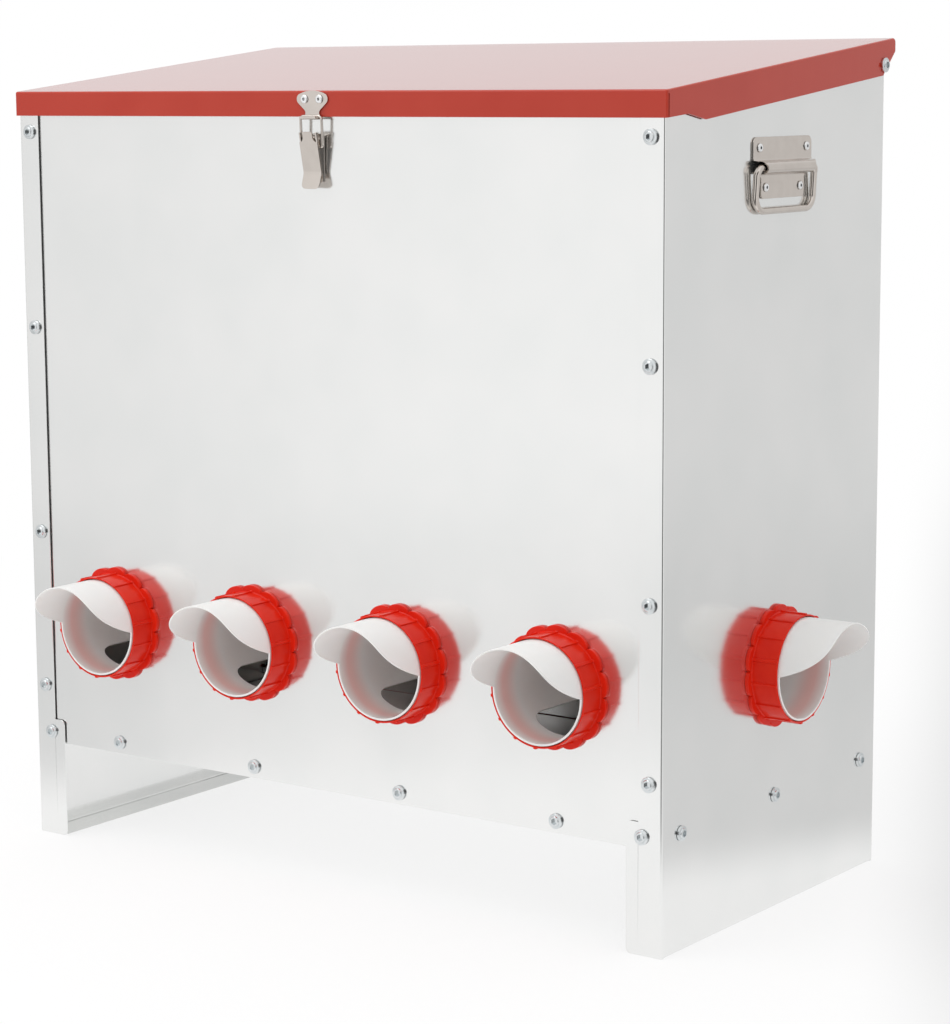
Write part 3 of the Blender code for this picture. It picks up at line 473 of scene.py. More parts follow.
def sidePanelMesh():
    s = sidePanel
    edgeX = wallHigh.x - s["wideFlange"]
    work = bmesh.new()
    plan = [
        (edgeX, wallLow.y, 0.0), (wallHigh.x, wallLow.y, 0.0),
        (wallHigh.x, wallHigh.y, 0.0), (edgeX, wallHigh.y, 0.0),
    ]
    drawOut(work, chain(work, plan), (0, 0, lidHigh.z))
    top = lidTop(0.0) - sheetWall / math.cos(slope) - s["topGap"]
    cutPlane(work, (0, 0, top), (0, -math.sin(slope), math.cos(slope)), True)
    # the flanges are wide at the legs and narrow above
    narrowX = wallHigh.x - s["narrowFlange"]
    cutPlane(work, (narrowX, 0, 0), (1, 0, 0))
    cutPlane(work, (0, 0, s["stepHeight"]), (0, 0, 1))
    upper = [
        face for face in work.faces
        if face.calc_center_median().x < narrowX and face.calc_center_median().z > s["stepHeight"]
    ]
    bmesh.ops.delete(work, geom=upper, context="FACES")
    corners = [
        vert for vert in work.verts
        if nearlyOn(vert.co.x, edgeX) and (nearlyOn(vert.co.z, s["stepHeight"]) or nearlyOn(vert.co.z, 0))
    ]
    bmesh.ops.bevel(
        work, geom=corners, offset=s["stepRounding"], segments=4, affect="VERTICES",
        profile=0.5, material=-1,
    )
    # the foot turns inward between two corner reliefs
    footLow, footHigh = wallLow.y + s["footRelief"], wallHigh.y - s["footRelief"]

    def onFoot(p):
        return nearlyOn(p.z, 0) and nearlyOn(p.x, wallHigh.x) and footLow < p.y < footHigh

    for y in (footLow, footHigh):
        cutPlane(work, (0, y, 0), (0, 1, 0))
    drawOut(work, edgesAlong(work, 1, onFoot), (-s["footFlange"], 0, 0))
    folds = edgesAlong(work, 2, lambda p: nearlyOn(p.x, wallHigh.x)
                       and (nearlyOn(p.y, wallLow.y) or nearlyOn(p.y, wallHigh.y)))
    folds += edgesAlong(work, 1, onFoot)
    roundEdges(work, folds, s["bend"])
    mesh = thickened(work, sheetWall, insideBody)
    drills = bmesh.new()
    for face, y in (("front", wallLow.y), ("back", wallHigh.y)):
        for z in columnHeights:
            addDrill(drills, (columnX, y, z), outward[face], screwHole)
        addDrill(drills, (legX, y, rowZ), outward[face], screwHole)
    addDrill(drills, (wallHigh.x, middleY, portZ), outward["right"], portHole, sides=portSides)
    addDrill(drills, (wallHigh.x, pivot.y, pivot.z), outward["right"], screwHole)
    for y in sideScrewYs:
        addDrill(drills, (wallHigh.x, y, rowZ), outward["right"], screwHole)
    for along, up in handleRivets:
        addDrill(drills, (wallHigh.x, middleY + along, handlePivot.z + up), outward["right"], rivetHole)
    panel = easedEdges(cutBy(mesh, drills))
    for vert in panel.vertices:
        vert.co.z = max(vert.co.z, 0.0)  # the foot stands on the floor
    return panel


print("side panels")
wallMesh = sidePanelMesh()
mirror = Matrix.Scale(-1, 4, (1, 0, 0))
addPiece("rightSideSheet", wallMesh, "galvanised_steel", "side_panel_right")
addPiece("leftSideSheet", wallMesh, "galvanised_steel", "side_panel_left", mirror)


panels = {
    "bend": 1.4,
    "lip": 12.0,
    "backTop": 623.69,
    "notchWidth": 9.8,  # free corner round the lid's pivot screws
    "notchBottom": 602.19,
}


def panelMesh(face, inward, top, holes):
    # a flat sheet with a folded lip on top
    work = bmesh.new()
    half = panelHigh.x
    points = [(-half, face, panelLow.z), (-half, face, top)]
    points.append((-half, face + inward * panels["lip"], top))
    drawOut(work, chain(work, points), (2 * half, 0, 0))
    fold = edgesAlong(work, 0, lambda p: nearlyOn(p.z, top) and nearlyOn(p.y, face))
    roundEdges(work, fold, panels["bend"])
    mesh = thickened(work, sheetWall, insideBody)
    return easedEdges(cutBy(mesh, holes))


def screwHoles(work, face, y):
    for x in (-columnX, columnX):
        for z in columnHeights:
            addDrill(work, (x, y, z), outward[face], screwHole)
    for x in (-legX, legX, *portXs):
        addDrill(work, (x, y, rowZ), outward[face], screwHole)


def frontMesh():
    holes = bmesh.new()
    screwHoles(holes, "front", panelLow.y)
    for x in portXs:
        addDrill(holes, (x, panelLow.y, portZ), outward["front"], portHole, sides=portSides)
    for drop in latchRivets:
        addDrill(holes, (0, panelLow.y, pin.z + drop), outward["front"], rivetHole)
    return panelMesh(panelLow.y, 1, panelHigh.z, holes)


def backMesh():
    holes = bmesh.new()
    screwHoles(holes, "back", backFace)
    for side in (-1, 1):
        xs = sorted((side * (panelHigh.x - panels["notchWidth"]), side * (panelHigh.x + spare)))
        addBlock(holes, (xs[0], backFace - spare, panels["notchBottom"]),
                 (xs[1], backFace + spare, panels["backTop"] + spare))
    return panelMesh(backFace, -1, panels["backTop"], holes)


floorTray = {"rise": 0.5, "flange": 18.0, "bend": 1.6}


def floorMesh():
    f = floorTray
    halfX = wallHigh.x - sheetWall - fitGap
    halfY = backFace - middleY - sheetWall - fitGap
    low = panelLow.z + f["rise"]
    work = bmesh.new()
    addBlock(work, (-halfX, middleY - halfY, low), (halfX, middleY + halfY, low + f["flange"]))
    top = [face for face in work.faces if face.normal.z > 0.5]
    bmesh.ops.delete(work, geom=top, context="FACES_ONLY")
    loose = [edge for edge in work.edges if not edge.link_faces]
    bmesh.ops.delete(work, geom=loose, context="EDGES")
    roundEdges(work, [e for e in work.edges if len(e.link_faces) == 2], f["bend"])
    mesh = thickened(work, sheetWall, Vector((0, middleY, low + f["flange"])))
    holes = bmesh.new()  # each goes through two flanges
    for x in (-legX, legX, *portXs):
        addDrill(holes, (x, middleY, rowZ), outward["front"], screwHole, depth=400)
    for y in sideScrewYs:
        addDrill(holes, (0, y, rowZ), outward["right"], screwHole, depth=700)
    return cutBy(mesh, holes)


print("front, back and floor")
addPiece("frontSheet", frontMesh(), "galvanised_steel", "front_panel")
addPiece("backSheet", backMesh(), "galvanised_steel", "back_panel")
addPiece("floorTray", floorMesh(), "galvanised_steel", "floor_panel")


lid = {
    "bend": 1.5,
    "rearBend": 3.6,
    "seam": 1.1,  # open corner between the front flange and a side flange
    "seamStart": 2.5,  # below the top
    "seamReach": 2.0,
    "frontFlange": 18.5,
    "noseFlange": 19.2,
    "noseLength": 26.5,
    "noseStep": 22.0,
    "sideFlange": 25.8,
    "rearCut": 19.7,
    "rearFlange": 9.0,
    "catchRivetX": 6.85,
    "catchRivetZ": 587.54,
}


def lidMesh():
    # a sloping sheet whose edge is pulled down all round, then trimmed to the flanges' side view
    nose = lidLow.y + lid["noseLength"]
    skirt = nose + lid["noseStep"]
    cut = lidHigh.y - lid["rearCut"]
    work = bmesh.new()
    size = Matrix.Diagonal((lidHigh.x - lidLow.x, lidHigh.y - lidLow.y, 1, 1))
    bmesh.ops.create_grid(work, x_segments=1, y_segments=1, size=0.5, matrix=size)
    bmesh.ops.translate(work, vec=(0, (lidLow.y + lidHigh.y) / 2, 0), verts=work.verts)
    for y in (nose, skirt, cut):
        cutPlane(work, (0, y, 0), (0, 1, 0))
    for vert in work.verts:
        vert.co.z = lidTop(vert.co.y)
    rim = [edge for edge in work.edges if edge.is_boundary]
    lower = drawOut(work, rim, (0, 0, -1))
    depths = {
        lidLow.y: lid["frontFlange"], nose: lid["noseFlange"], skirt: lid["sideFlange"],
        cut: lid["sideFlange"], lidHigh.y: lid["rearFlange"],
    }
    for vert in lower:
        y = min(depths, key=lambda value: abs(value - vert.co.y))
        vert.co.z = lidTop(y) - depths[y]
    roundEdges(work, edgesAlong(work, 0, lambda p: nearlyOn(p.y, lidHigh.y) and nearlyOn(p.z, lidHigh.z)),
               lid["rearBend"])
    folds = [e for e in work.edges if e.is_manifold and e.calc_face_angle(0) > 1.0]
    roundEdges(work, folds, lid["bend"])
    mesh = thickened(work, sheetWall, insideBody)
    drills = bmesh.new()
    seamY, seamTop, reach = lidLow.y + lid["bend"], lidTop(lidLow.y) - lid["seamStart"], lid["seamReach"]
    for x in (lidLow.x, lidHigh.x):
        addBlock(drills, (x - reach, seamY, seamTop - lid["frontFlange"] - spare),
                 (x + reach, seamY + lid["seam"], seamTop))
    for x, face in ((lidHigh.x, "right"), (lidLow.x, "left")):
        addDrill(drills, (x, pivot.y, pivot.z), outward[face], screwHole)
    for x in (-lid["catchRivetX"], lid["catchRivetX"]):
        addDrill(drills, (x, lidLow.y, lid["catchRivetZ"]), outward["front"], rivetHole)
    return cutBy(mesh, drills)


print("lid")
addPiece("lidSheet", lidMesh(), "red_paint", "lid", body="lid")


tube = {
    "radius": 37.45,
    "wall": 1.5,
    "visorWall": 1.0,
    "rim": 24.0,  # how far the lower rim stands out
    "visor": 38.0,
    "fullness": 3,
    "length": 75.0,  # behind the sheet
    "slotStart": 8.0,
    "slotHalf": 48.0,  # degrees from the bottom
    "slotCorner": 10.0,
    "collarRadius": 45.0,
    "collar": 2.5,
    "collarGap": 1.1,
    "edge": 0.25,
    "thinning": 12.0,  # length over which the visor's wall becomes thin
}


def tubeMesh():
    # own Z points out of the body and is 0 at the sheet's face; own Y points up
    t = tube
    work = bmesh.new()
    bmesh.ops.create_cone(
        work, cap_ends=False, segments=120, radius1=t["radius"], radius2=t["radius"], depth=1.0
    )
    for vert in work.verts:
        if vert.co.z > 0:
            share = 1 - max(0.0, vert.co.y / t["radius"])
            vert.co.z = t["rim"] + t["visor"] * (1 - share ** t["fullness"])
        else:
            vert.co.z = -t["length"]
    cutPlane(work, (0, 0, -t["slotStart"]), (0, 0, 1))
    slotTop = -t["radius"] * math.cos(math.radians(t["slotHalf"]))
    slot = [
        face for face in work.faces
        if face.calc_center_median().y < slotTop and face.calc_center_median().z < -t["slotStart"]
    ]
    bmesh.ops.delete(work, geom=slot, context="FACES")
    for vert in work.verts:
        if nearlyOn(vert.co.z, -t["slotStart"]) and vert.co.y < slotTop + 0.5:
            turn = math.degrees(abs(math.atan2(vert.co.x, -vert.co.y)))
            into = t["slotCorner"] - math.radians(t["slotHalf"] - turn) * t["radius"]
            if into > 0:
                vert.co.z -= t["slotCorner"] - math.sqrt(max(0.0, t["slotCorner"] ** 2 - into ** 2))
    # the inner end is closed down to the slot
    end = [e for e in work.edges if e.is_boundary and all(nearlyOn(v.co.z, -t["length"]) for v in e.verts)]
    corners = dict.fromkeys(v for e in end for v in e.verts)
    tips = [v for v in corners if sum(e in end for e in v.link_edges) == 1]
    bmesh.ops.contextual_create(work, geom=end + [work.edges.new(tips)])
    mesh = thickened(work, t["wall"], Vector((0, 0, -20)))
    # a collar holds the tube behind the sheet
    collar = bmesh.new()
    bmesh.ops.create_circle(collar, cap_ends=False, segments=120, radius=t["radius"] - t["wall"] / 2)
    rim = drawOut(collar, collar.edges[:], (0, 0, 0))
    for vert in rim:
        vert.co.xy = vert.co.xy.normalized() * t["collarRadius"]
    bmesh.ops.translate(collar, vec=(0, 0, -t["collarGap"]), verts=collar.verts)
    behind = bmesh.new()
    behind.from_mesh(thickened(collar, t["collar"], Vector((0, 0, -500))))
    work = bmesh.new()
    work.from_mesh(cutBy(mesh, behind, "UNION"))
    for vert in work.verts:
        if vert.co.z > t["rim"] + 0.2 and vert.co.xy.length < t["radius"] - t["wall"] / 2:
            thinned = min(1.0, (vert.co.z - t["rim"]) / t["thinning"])
            reach = t["radius"] - t["wall"] + (t["wall"] - t["visorWall"]) * thinned
            vert.co.xy = vert.co.xy.normalized() * reach
    rims = [
        e for e in work.edges
        if e.is_manifold and e.calc_face_angle() > 0.9 and all(v.co.z > t["rim"] - 1 for v in e.verts)
    ]
    roundEdges(work, rims, t["edge"], 2)
    return meshFrom(work)


ring = {
    "bore": 38.15,
    "wall": 1.2,
    "start": 0.03,
    "top": 23.4,
    "teeth": 14,
    "turn": 3.4,  # degrees, clockwise seen from outside
    "ribWidth": 1.8,
    "ribHeight": 1.0,
    "ribFlank": 0.35,
    "lobeSteps": 18,
    "flange": 3.0,
    "tip": 44.8,
    "valley": 40.6,
    "fillet": 0.6,
    "edge": 0.35,
}


def ringMesh():
    # a ribbed sleeve on a scalloped flange, one skin drawn round loop by loop; own Z as on the tube
    r = ring
    outer = r["bore"] + r["wall"]
    tooth = 2 * math.pi / r["teeth"]
    half = r["ribWidth"] / 2 / outer
    flank = r["ribFlank"] / outer
    offsets = [-half - flank, -half, half, half + flank]
    gap = tooth - 2 * (half + flank)
    offsets += [half + flank + gap * step / r["lobeSteps"] for step in range(1, r["lobeSteps"])]
    first = quarter - math.radians(r["turn"])
    turns = sorted(
        (first + lobe * tooth + offset) % (2 * math.pi) for lobe in range(r["teeth"]) for offset in offsets
    )
    shares = [((turn - first) / tooth + 0.5) % 1.0 - 0.5 for turn in turns]  # 0 in the middle of a lobe
    ribs = [r["ribHeight"] if abs(share) * tooth < half + 1e-4 else 0.0 for share in shares]
    lobes = [r["valley"] + (r["tip"] - r["valley"]) * math.sqrt(max(0.0, 1 - 4 * s * s)) for s in shares]
    sleeve = [outer + rib for rib in ribs]
    foot = r["start"] + r["flange"]
    edge, fillet = r["edge"], r["fillet"]
    loops = [
        (r["top"] - edge, [r["bore"]] * len(turns)),
        (r["top"], [r["bore"] + edge] * len(turns)),
        (r["top"], [reach - edge for reach in sleeve]),
        (r["top"] - edge, sleeve),
        (foot + fillet, sleeve),
        (foot, [reach + fillet for reach in sleeve]),
        (foot, [reach - edge for reach in lobes]),
        (foot - edge, lobes),
        (r["start"] + edge, lobes),
        (r["start"], [reach - edge for reach in lobes]),
        (r["start"], [r["bore"]] * len(turns)),
    ]

    def angle(vert):
        return math.atan2(vert.co.y, vert.co.x) % (2 * math.pi)

    work = bmesh.new()
    bmesh.ops.create_circle(work, cap_ends=False, segments=len(turns), radius=1.0)
    around = sorted(work.verts, key=angle)
    edges = work.edges[:]
    for number, (height, reaches) in enumerate(loops):
        if number:
            fresh = drawOut(work, edges, (0, 0, 1))
            around = sorted(fresh, key=angle)
            loop = set(around)
            edges = [e for v in around for e in v.link_edges if all(end in loop for end in e.verts)]
            edges = list(dict.fromkeys(edges))
        for vert, turn, reach in zip(around, turns, reaches):
            vert.co = (reach * math.cos(turn), reach * math.sin(turn), height)
    bmesh.ops.bridge_loops(work, edges=[e for e in work.edges if e.is_boundary])
    bmesh.ops.recalc_face_normals(work, faces=work.faces)
    return meshFrom(work)


print("feeding ports")
tubeShape = tubeMesh()
ringShape = ringMesh()
portPlaces = {f"front_{n}": ("front", (x, panelLow.y, portZ)) for n, x in enumerate(portXs, 1)}
portPlaces["left"] = ("left", (-wallHigh.x, middleY, portZ))
portPlaces["right"] = ("right", (wallHigh.x, middleY, portZ))
for key, (face, point) in portPlaces.items():
    place = Matrix.Translation(point) @ outward[face]
    addPiece(f"portTube_{key}", tubeShape, "white_plastic", f"port_tube_{key}", place)
    addPiece(f"lockRing_{key}", ringShape, "red_plastic", f"lock_ring_{key}", place)


screw = {
    "head": 5.5,
    "flange": 1.6,
    "height": 2.8,
    "dome": 3.9,
    "socket": 2.5,  # from the middle to a corner of the six-sided recess
    "socketDepth": 2.2,
    "shank": 2.3,
    "tip": 1.0,  # of the shank, past the nut
    "domeRounding": 1.0,
    "flangeRounding": 0.4,
    "nutAcrossFlats": 7.8,
    "nutHeight": 4.0,
    "nutRounding": 0.5,
}


def spun(profile, sides=32):
    # turns a row of (radius, height) points round Z into a closed body
    work = bmesh.new()
    row = chain(work, [(radius, 0.0, height) for radius, height in profile])
    bmesh.ops.spin(
        work, geom=row + work.verts[:], cent=(0, 0, 0), axis=(0, 0, 1), angle=2 * math.pi, steps=sides,
        use_merge=True,
    )
    bmesh.ops.remove_doubles(work, verts=work.verts, dist=1e-4)
    bmesh.ops.recalc_face_normals(work, faces=work.faces)
    return work


def screwShape(grip):
    # flanged button head with a six-sided recess, shank and nut; Z is 0 at the seat
    s = screw
    end = -grip - s["nutHeight"] - s["tip"]
    dome, rim = s["domeRounding"], s["flangeRounding"]
    profile = [(0.0, s["height"])]
    profile += curvePoints((s["dome"] - dome, s["height"] - dome), (dome, dome), 90, 0, 4)
    profile += curvePoints((s["head"] - rim, s["flange"] - rim), (rim, rim), 80, 0, 3)
    profile += [(s["head"], 0.0), (s["shank"], 0.0), (s["shank"], end + 0.4), (s["shank"] - 0.5, end)]
    profile += [(0.0, end)]
    body = spun(profile)
    recess = bmesh.new()
    bmesh.ops.create_cone(
        recess, cap_ends=True, segments=6, radius1=s["socket"], radius2=s["socket"],
        depth=2 * s["socketDepth"], matrix=Matrix.Translation((0, 0, s["height"])),
    )
    mesh = cutBy(meshFrom(body), recess)
    nut = bmesh.new()
    corner = s["nutAcrossFlats"] / 2 / math.cos(math.pi / 6)
    bmesh.ops.create_cone(
        nut, cap_ends=True, segments=6, radius1=corner, radius2=corner, depth=s["nutHeight"],
        matrix=Matrix.Translation((0, 0, -grip - s["nutHeight"] / 2)),
    )
    rims = [e for e in nut.edges if nearlyOn(e.verts[0].co.z, e.verts[1].co.z)]
    roundEdges(nut, rims, s["nutRounding"], 2)
    return cutBy(mesh, nut, "UNION")


rivet = {
    "head": 3.2,
    "height": 1.2,
    "rounding": (1.5, 1.0),
    "hole": 1.1,
    "holeDepth": 3.6,
    "shank": 1.6,
    "tail": 2.6,
    "tailLength": 3.0,
}


def rivetShape(grip, tail):
    # blind rivet: low dome with the hole that the broken pull stem leaves
    r = rivet
    tip = -grip - tail
    profile = [(0.0, -r["holeDepth"]), (r["hole"], -r["holeDepth"]), (r["hole"], r["height"] - 0.1)]
    wide, high = r["rounding"]
    profile += curvePoints((r["head"] - wide, r["height"] - high), (wide, high), 80, 0, 5)
    profile += [(r["head"], 0.0), (r["shank"], 0.0), (r["shank"], -grip)]
    profile += curvePoints((r["shank"], -grip - tail / 2), (r["tail"] - r["shank"], tail / 2), 80, -80, 4)
    profile += [(r["shank"] * 0.6, tip), (0.0, tip)]
    return meshFrom(spun(profile, 24))


layer = sheetWall + fitGap
setback = 1.8  # from the flanges' face to the panel's
lidSideGap = 1.7
columnGrip = fitGap + setback + layer
legGrip = columnGrip + layer
rowGrip = fitGap + 2 * layer
pivotGrip = 2 * layer + lidSideGap
grips = {grip: screwShape(grip) for grip in (columnGrip, legGrip, rowGrip, pivotGrip)}


def addScrew(name, grip, face, point, node=None):
    addPiece(name, grips[grip], "zinc_screws", node, Matrix.Translation(point) @ outward[face])


print("screws")
front, back, wall = wallLow.y - fitGap, wallHigh.y + fitGap, wallHigh.x + fitGap
for side, x in (("left", -1), ("right", 1)):
    for number, z in enumerate(columnHeights, 1):
        addScrew(f"frontScrew_{side}_{number}", columnGrip, "front", (x * columnX, front, z),
                 f"front_screw_{side}_{number}")
        addScrew(f"backScrew_{side}_{number}", columnGrip, "back", (x * columnX, back, z))
    addScrew(f"legScrew_{side}", legGrip, "front", (x * legX, front, rowZ), f"leg_screw_{side}")
    addScrew(f"backLegScrew_{side}", legGrip, "back", (x * legX, back, rowZ))
    for number, y in enumerate(sideScrewYs, 1):
        addScrew(f"floorScrew_{side}_{number}", rowGrip, side, (x * wall, y, rowZ),
                 f"floor_screw_{side}_{number}")
    addScrew(f"pivotScrew_{side}", pivotGrip, side, (x * (lidHigh.x + fitGap), pivot.y, pivot.z),
             f"lid_pivot_screw_{side}")
for number, x in enumerate(portXs, 1):
    addScrew(f"floorScrew_front_{number}", rowGrip, "front", (x, panelLow.y - fitGap, rowZ),
             f"floor_screw_front_{number}")
    addScrew(f"floorScrew_back_{number}", rowGrip, "back", (x, backFace + fitGap, rowZ))


latch = {
    "sheet": 1.2,
    "eased": 0.3,
    "baseHalf": 6.6,
    "baseCorner": 1.5,
    "baseTop": 2.2,  # heights are from the pin
    "baseBottom": -32.0,
    "earRadius": 2.8,
    "earInset": 0.3,
    "earFoot": ((1.0, 1.6), (1.0, -9.0)),  # out of the sheet, and up from the pin
    "pinRadius": 1.4,
    "pinPlay": 0.15,
    "wirePlay": 0.25,
    "drill": 30.0,  # length of the cutters for both, across the latch
    "leverHalf": 8.2,
    "tongueHalf": 4.5,
    "lipCorner": 4.0,
    "leverTop": (11.3, 4.5),
    "leverBend": (5.3, -25.2),
    "leverTip": (8.7, -36.2),
    "leverFold": 1.5,
    "cheekBack": 3.2,
    "cheekInset": 0.15,
    "cheekTop": 4.2,
    "cheekBottom": -24.9,
    "wire": 1.05,
    "wireX": 9.7,
    "wireStart": 6.9,
    "wireBend": 3.0,
    "loopBend": 1.6,
    "wireSides": 24,
    "catchSheet": 1.0,
    "catchTail": 1.6,  # length of its rivets' tails
    "headHalf": 14.3,
    "neckHalf": 6.4,
    "hookHalf": 7.4,
    "hookFloor": 13.3,
    "hookReach": 10.5,
    "hookBend": 1.6,
    "barSeat": 2.8,  # out of the lid's front flange to the middle of the wire loop's bar
    "barTop": 1.2,  # from there up to the loop's top
    "neckTop": -7.8,  # heights of the catch's head are from its rivets
    "shoulder": (10.6, 0.1),
    "shoulderHigh": 3.9,
    "crown": 6.1,
    "crownRadius": 31.0,
}
pinOut = panelLow.y - pin.y
linkOut = panelLow.y - link.y
linkUp = link.z - pin.z
barOut = panelLow.y - lidLow.y + latch["barSeat"]
barUp = boxOf("latch_bail")[1].z - latch["barTop"] - pin.z
catchUp = lid["catchRivetZ"] - pin.z
sideways = Matrix.Rotation(quarter, 4, "Y")
# lays an outline of (out, up) across, with its thickness along X
acrossX = Matrix(((0, 0, 1, 0), (0, 1, 0, 0), (1, 0, 0, 0), (0, 0, 0, 1)))
latchPlace = Matrix.Translation((0, panelLow.y, pin.z)) @ outward["front"]


def latchBaseMesh():
    # own Z points out of the sheet and own Y up from the pin
    v = latch
    half, corner = v["baseHalf"], v["baseCorner"]
    outline = curvePoints((half - corner, v["baseBottom"] + corner), (corner, corner), -90, 0, 4)
    outline += curvePoints((half - corner, v["baseTop"] - corner), (corner, corner), 0, 90, 4)
    base = meshFrom(plateFrom(mirroredOutline(outline), fitGap, v["sheet"]))
    for start in (v["earInset"] - half, half - v["earInset"] - v["sheet"]):
        ear = curvePoints((pinOut, 0), (v["earRadius"],) * 2, -75, 105, 10)
        base = cutBy(base, plateFrom([*ear, *v["earFoot"]], start, v["sheet"], acrossX), "UNION")
    drills = bmesh.new()
    addDrill(drills, (0, 0, pinOut), sideways, v["pinRadius"] - 0.1, v["drill"], v["wireSides"])
    return easedEdges(cutBy(base, drills), v["eased"])


def leverMesh():
    # a channel that hangs from the pin and ends in a lip for the finger
    v = latch
    work = bmesh.new()
    half = v["leverHalf"]
    path = [(-half, up, out) for out, up in (v["leverTop"], v["leverBend"], v["leverTip"])]
    drawOut(work, chain(work, path), (2 * half, 0, 0))
    roundEdges(work, edgesAlong(work, 0, lambda p: nearlyOn(p.y, v["leverBend"][1])), v["leverFold"], 6)
    web = thickened(work, v["sheet"], Vector((0, -15, -50)))
    corner, notch = v["lipCorner"], half - v["tongueHalf"]
    outline = curvePoints((half - corner, v["leverTip"][1] + corner), (corner, corner), -90, 0, 8)
    outline += curvePoints((half, v["leverTop"][1] - notch), (notch, notch), -90, -180, 8)
    outline += curvePoints((v["tongueHalf"] - 1, v["leverTop"][1] + 1), (1, 1), 0, 90, 2)
    web = trimmed(web, outline)
    topOut, bendOut = v["leverTop"][0] - v["sheet"] / 2, v["leverBend"][0] - v["sheet"] / 2
    back = v["cheekBack"]
    foot = v["cheekBottom"]
    cheek = [(topOut, v["cheekTop"]), (bendOut, foot), (bendOut - back + 1, foot)]
    cheek += [(bendOut - back, foot + 2.9), (linkOut - back, linkUp - back)]
    cheek += curvePoints((pinOut, 0), (back, back), 180, 105, 6)
    for start in (v["cheekInset"] - half, half - v["cheekInset"] - v["sheet"]):
        web = cutBy(web, plateFrom(cheek, start, v["sheet"], acrossX), "UNION")
    drills = bmesh.new()
    addDrill(drills, (0, 0, pinOut), sideways, v["pinRadius"] + v["pinPlay"], v["drill"], v["wireSides"])
    addDrill(drills, (0, linkUp, linkOut), sideways, v["wire"] + v["wirePlay"], v["drill"], v["wireSides"])
    return easedEdges(cutBy(web, drills), v["eased"])


def bailMesh():
    v = latch
    rise = math.hypot(barOut - linkOut, barUp - linkUp)
    lean = ((barOut - linkOut) / rise, (barUp - linkUp) / rise)
    half = [(v["wireStart"], 0.0)]
    half += curvePoints((v["wireX"] - v["loopBend"], v["loopBend"]), (v["loopBend"],) * 2, -90, 0, 6)
    half += curvePoints((v["wireX"] - v["wireBend"], rise - v["wireBend"]), (v["wireBend"],) * 2, 0, 90, 8)
    points = [(x, linkUp + lean[1] * along, linkOut + lean[0] * along) for x, along in mirroredOutline(half)]
    return wireMesh(points, v["wire"])


def catchMesh():
    # a fan-shaped plate on the lid whose neck turns into a hook that opens upward
    v = latch
    seat = panelLow.y - lidLow.y + fitGap
    work = bmesh.new()
    wide = v["headHalf"] + 1
    points = ((seat, catchUp + 9), (seat, v["hookFloor"]), (v["hookReach"], v["hookFloor"]))
    path = [(-wide, up, out) for out, up in (*points, (v["hookReach"], barUp))]
    drawOut(work, chain(work, path), (2 * wide, 0, 0))
    folds = edgesAlong(work, 0, lambda p: nearlyOn(p.y, v["hookFloor"]))
    roundEdges(work, folds, v["hookBend"], 5)
    strip = thickened(work, v["catchSheet"], Vector((0, 18, 7)))
    outline = [(v["hookHalf"], v["hookFloor"] - 2), (v["hookHalf"], barUp + 0.6)]
    neckTop, (middle, level), radius = catchUp + v["neckTop"], v["shoulder"], v["crownRadius"]
    outline += [(v["neckHalf"], barUp + 1.6), (v["neckHalf"], neckTop - 1.2), (v["neckHalf"] + 0.8, neckTop)]
    outline += curvePoints((middle, catchUp + level), (v["headHalf"] - middle, v["shoulderHigh"]), -52, 62, 8)
    outline += curvePoints((0, catchUp + v["crown"] - radius), (radius, radius), 67, 90, 6)[:-1]
    strip = trimmed(strip, outline)
    drills = bmesh.new()
    for x in (-lid["catchRivetX"], lid["catchRivetX"]):
        addDrill(drills, (x, catchUp, seat), Matrix(), rivetHole)
    return easedEdges(cutBy(strip, drills), v["eased"])


def pinShape():
    v = latch
    half = v["leverHalf"]
    profile = [(0.0, half), (v["pinRadius"] - 0.5, half), (v["pinRadius"], half - 0.3)]
    profile += [(radius, -height) for radius, height in reversed(profile)]
    return meshFrom(spun(profile, 24))


print("toggle latch")
addPiece("latchBase", latchBaseMesh(), "nickel_steel", "latch_base", latchPlace)
pinPlace = latchPlace @ Matrix.Translation((0, 0, pinOut)) @ sideways
addPiece("latchPin", pinShape(), "nickel_steel", "latch_pin", pinPlace)
addPiece("latchLever", leverMesh(), "nickel_steel", "latch_lever", latchPlace, "latch_lever")
addPiece("latchBail", bailMesh(), "nickel_steel", "latch_bail", latchPlace, "latch_bail", 60)
addPiece("latchCatch", catchMesh(), "nickel_steel", "latch_catch", latchPlace, "lid")
catchSeat = fitGap + latch["catchSheet"] + fitGap
catchRivet = rivetShape(catchSeat + layer, latch["catchTail"])
for side, x in (("left", -1), ("right", 1)):
    point = (x * lid["catchRivetX"], lidLow.y - catchSeat, lid["catchRivetZ"])
    place = Matrix.Translation(point) @ outward["front"]
    addPiece(f"catchRivet_{side}", catchRivet, "rivets", f"catch_rivet_{side}", place, "lid")
plateSeat = fitGap + latch["sheet"] + fitGap
plateRivet = rivetShape(plateSeat + layer, rivet["tailLength"])
for number, drop in enumerate(latchRivets, 1):
    place = latchPlace @ Matrix.Translation((0, drop, plateSeat))
    addPiece(f"latchRivet_{number}", plateRivet, "rivets", place=place)


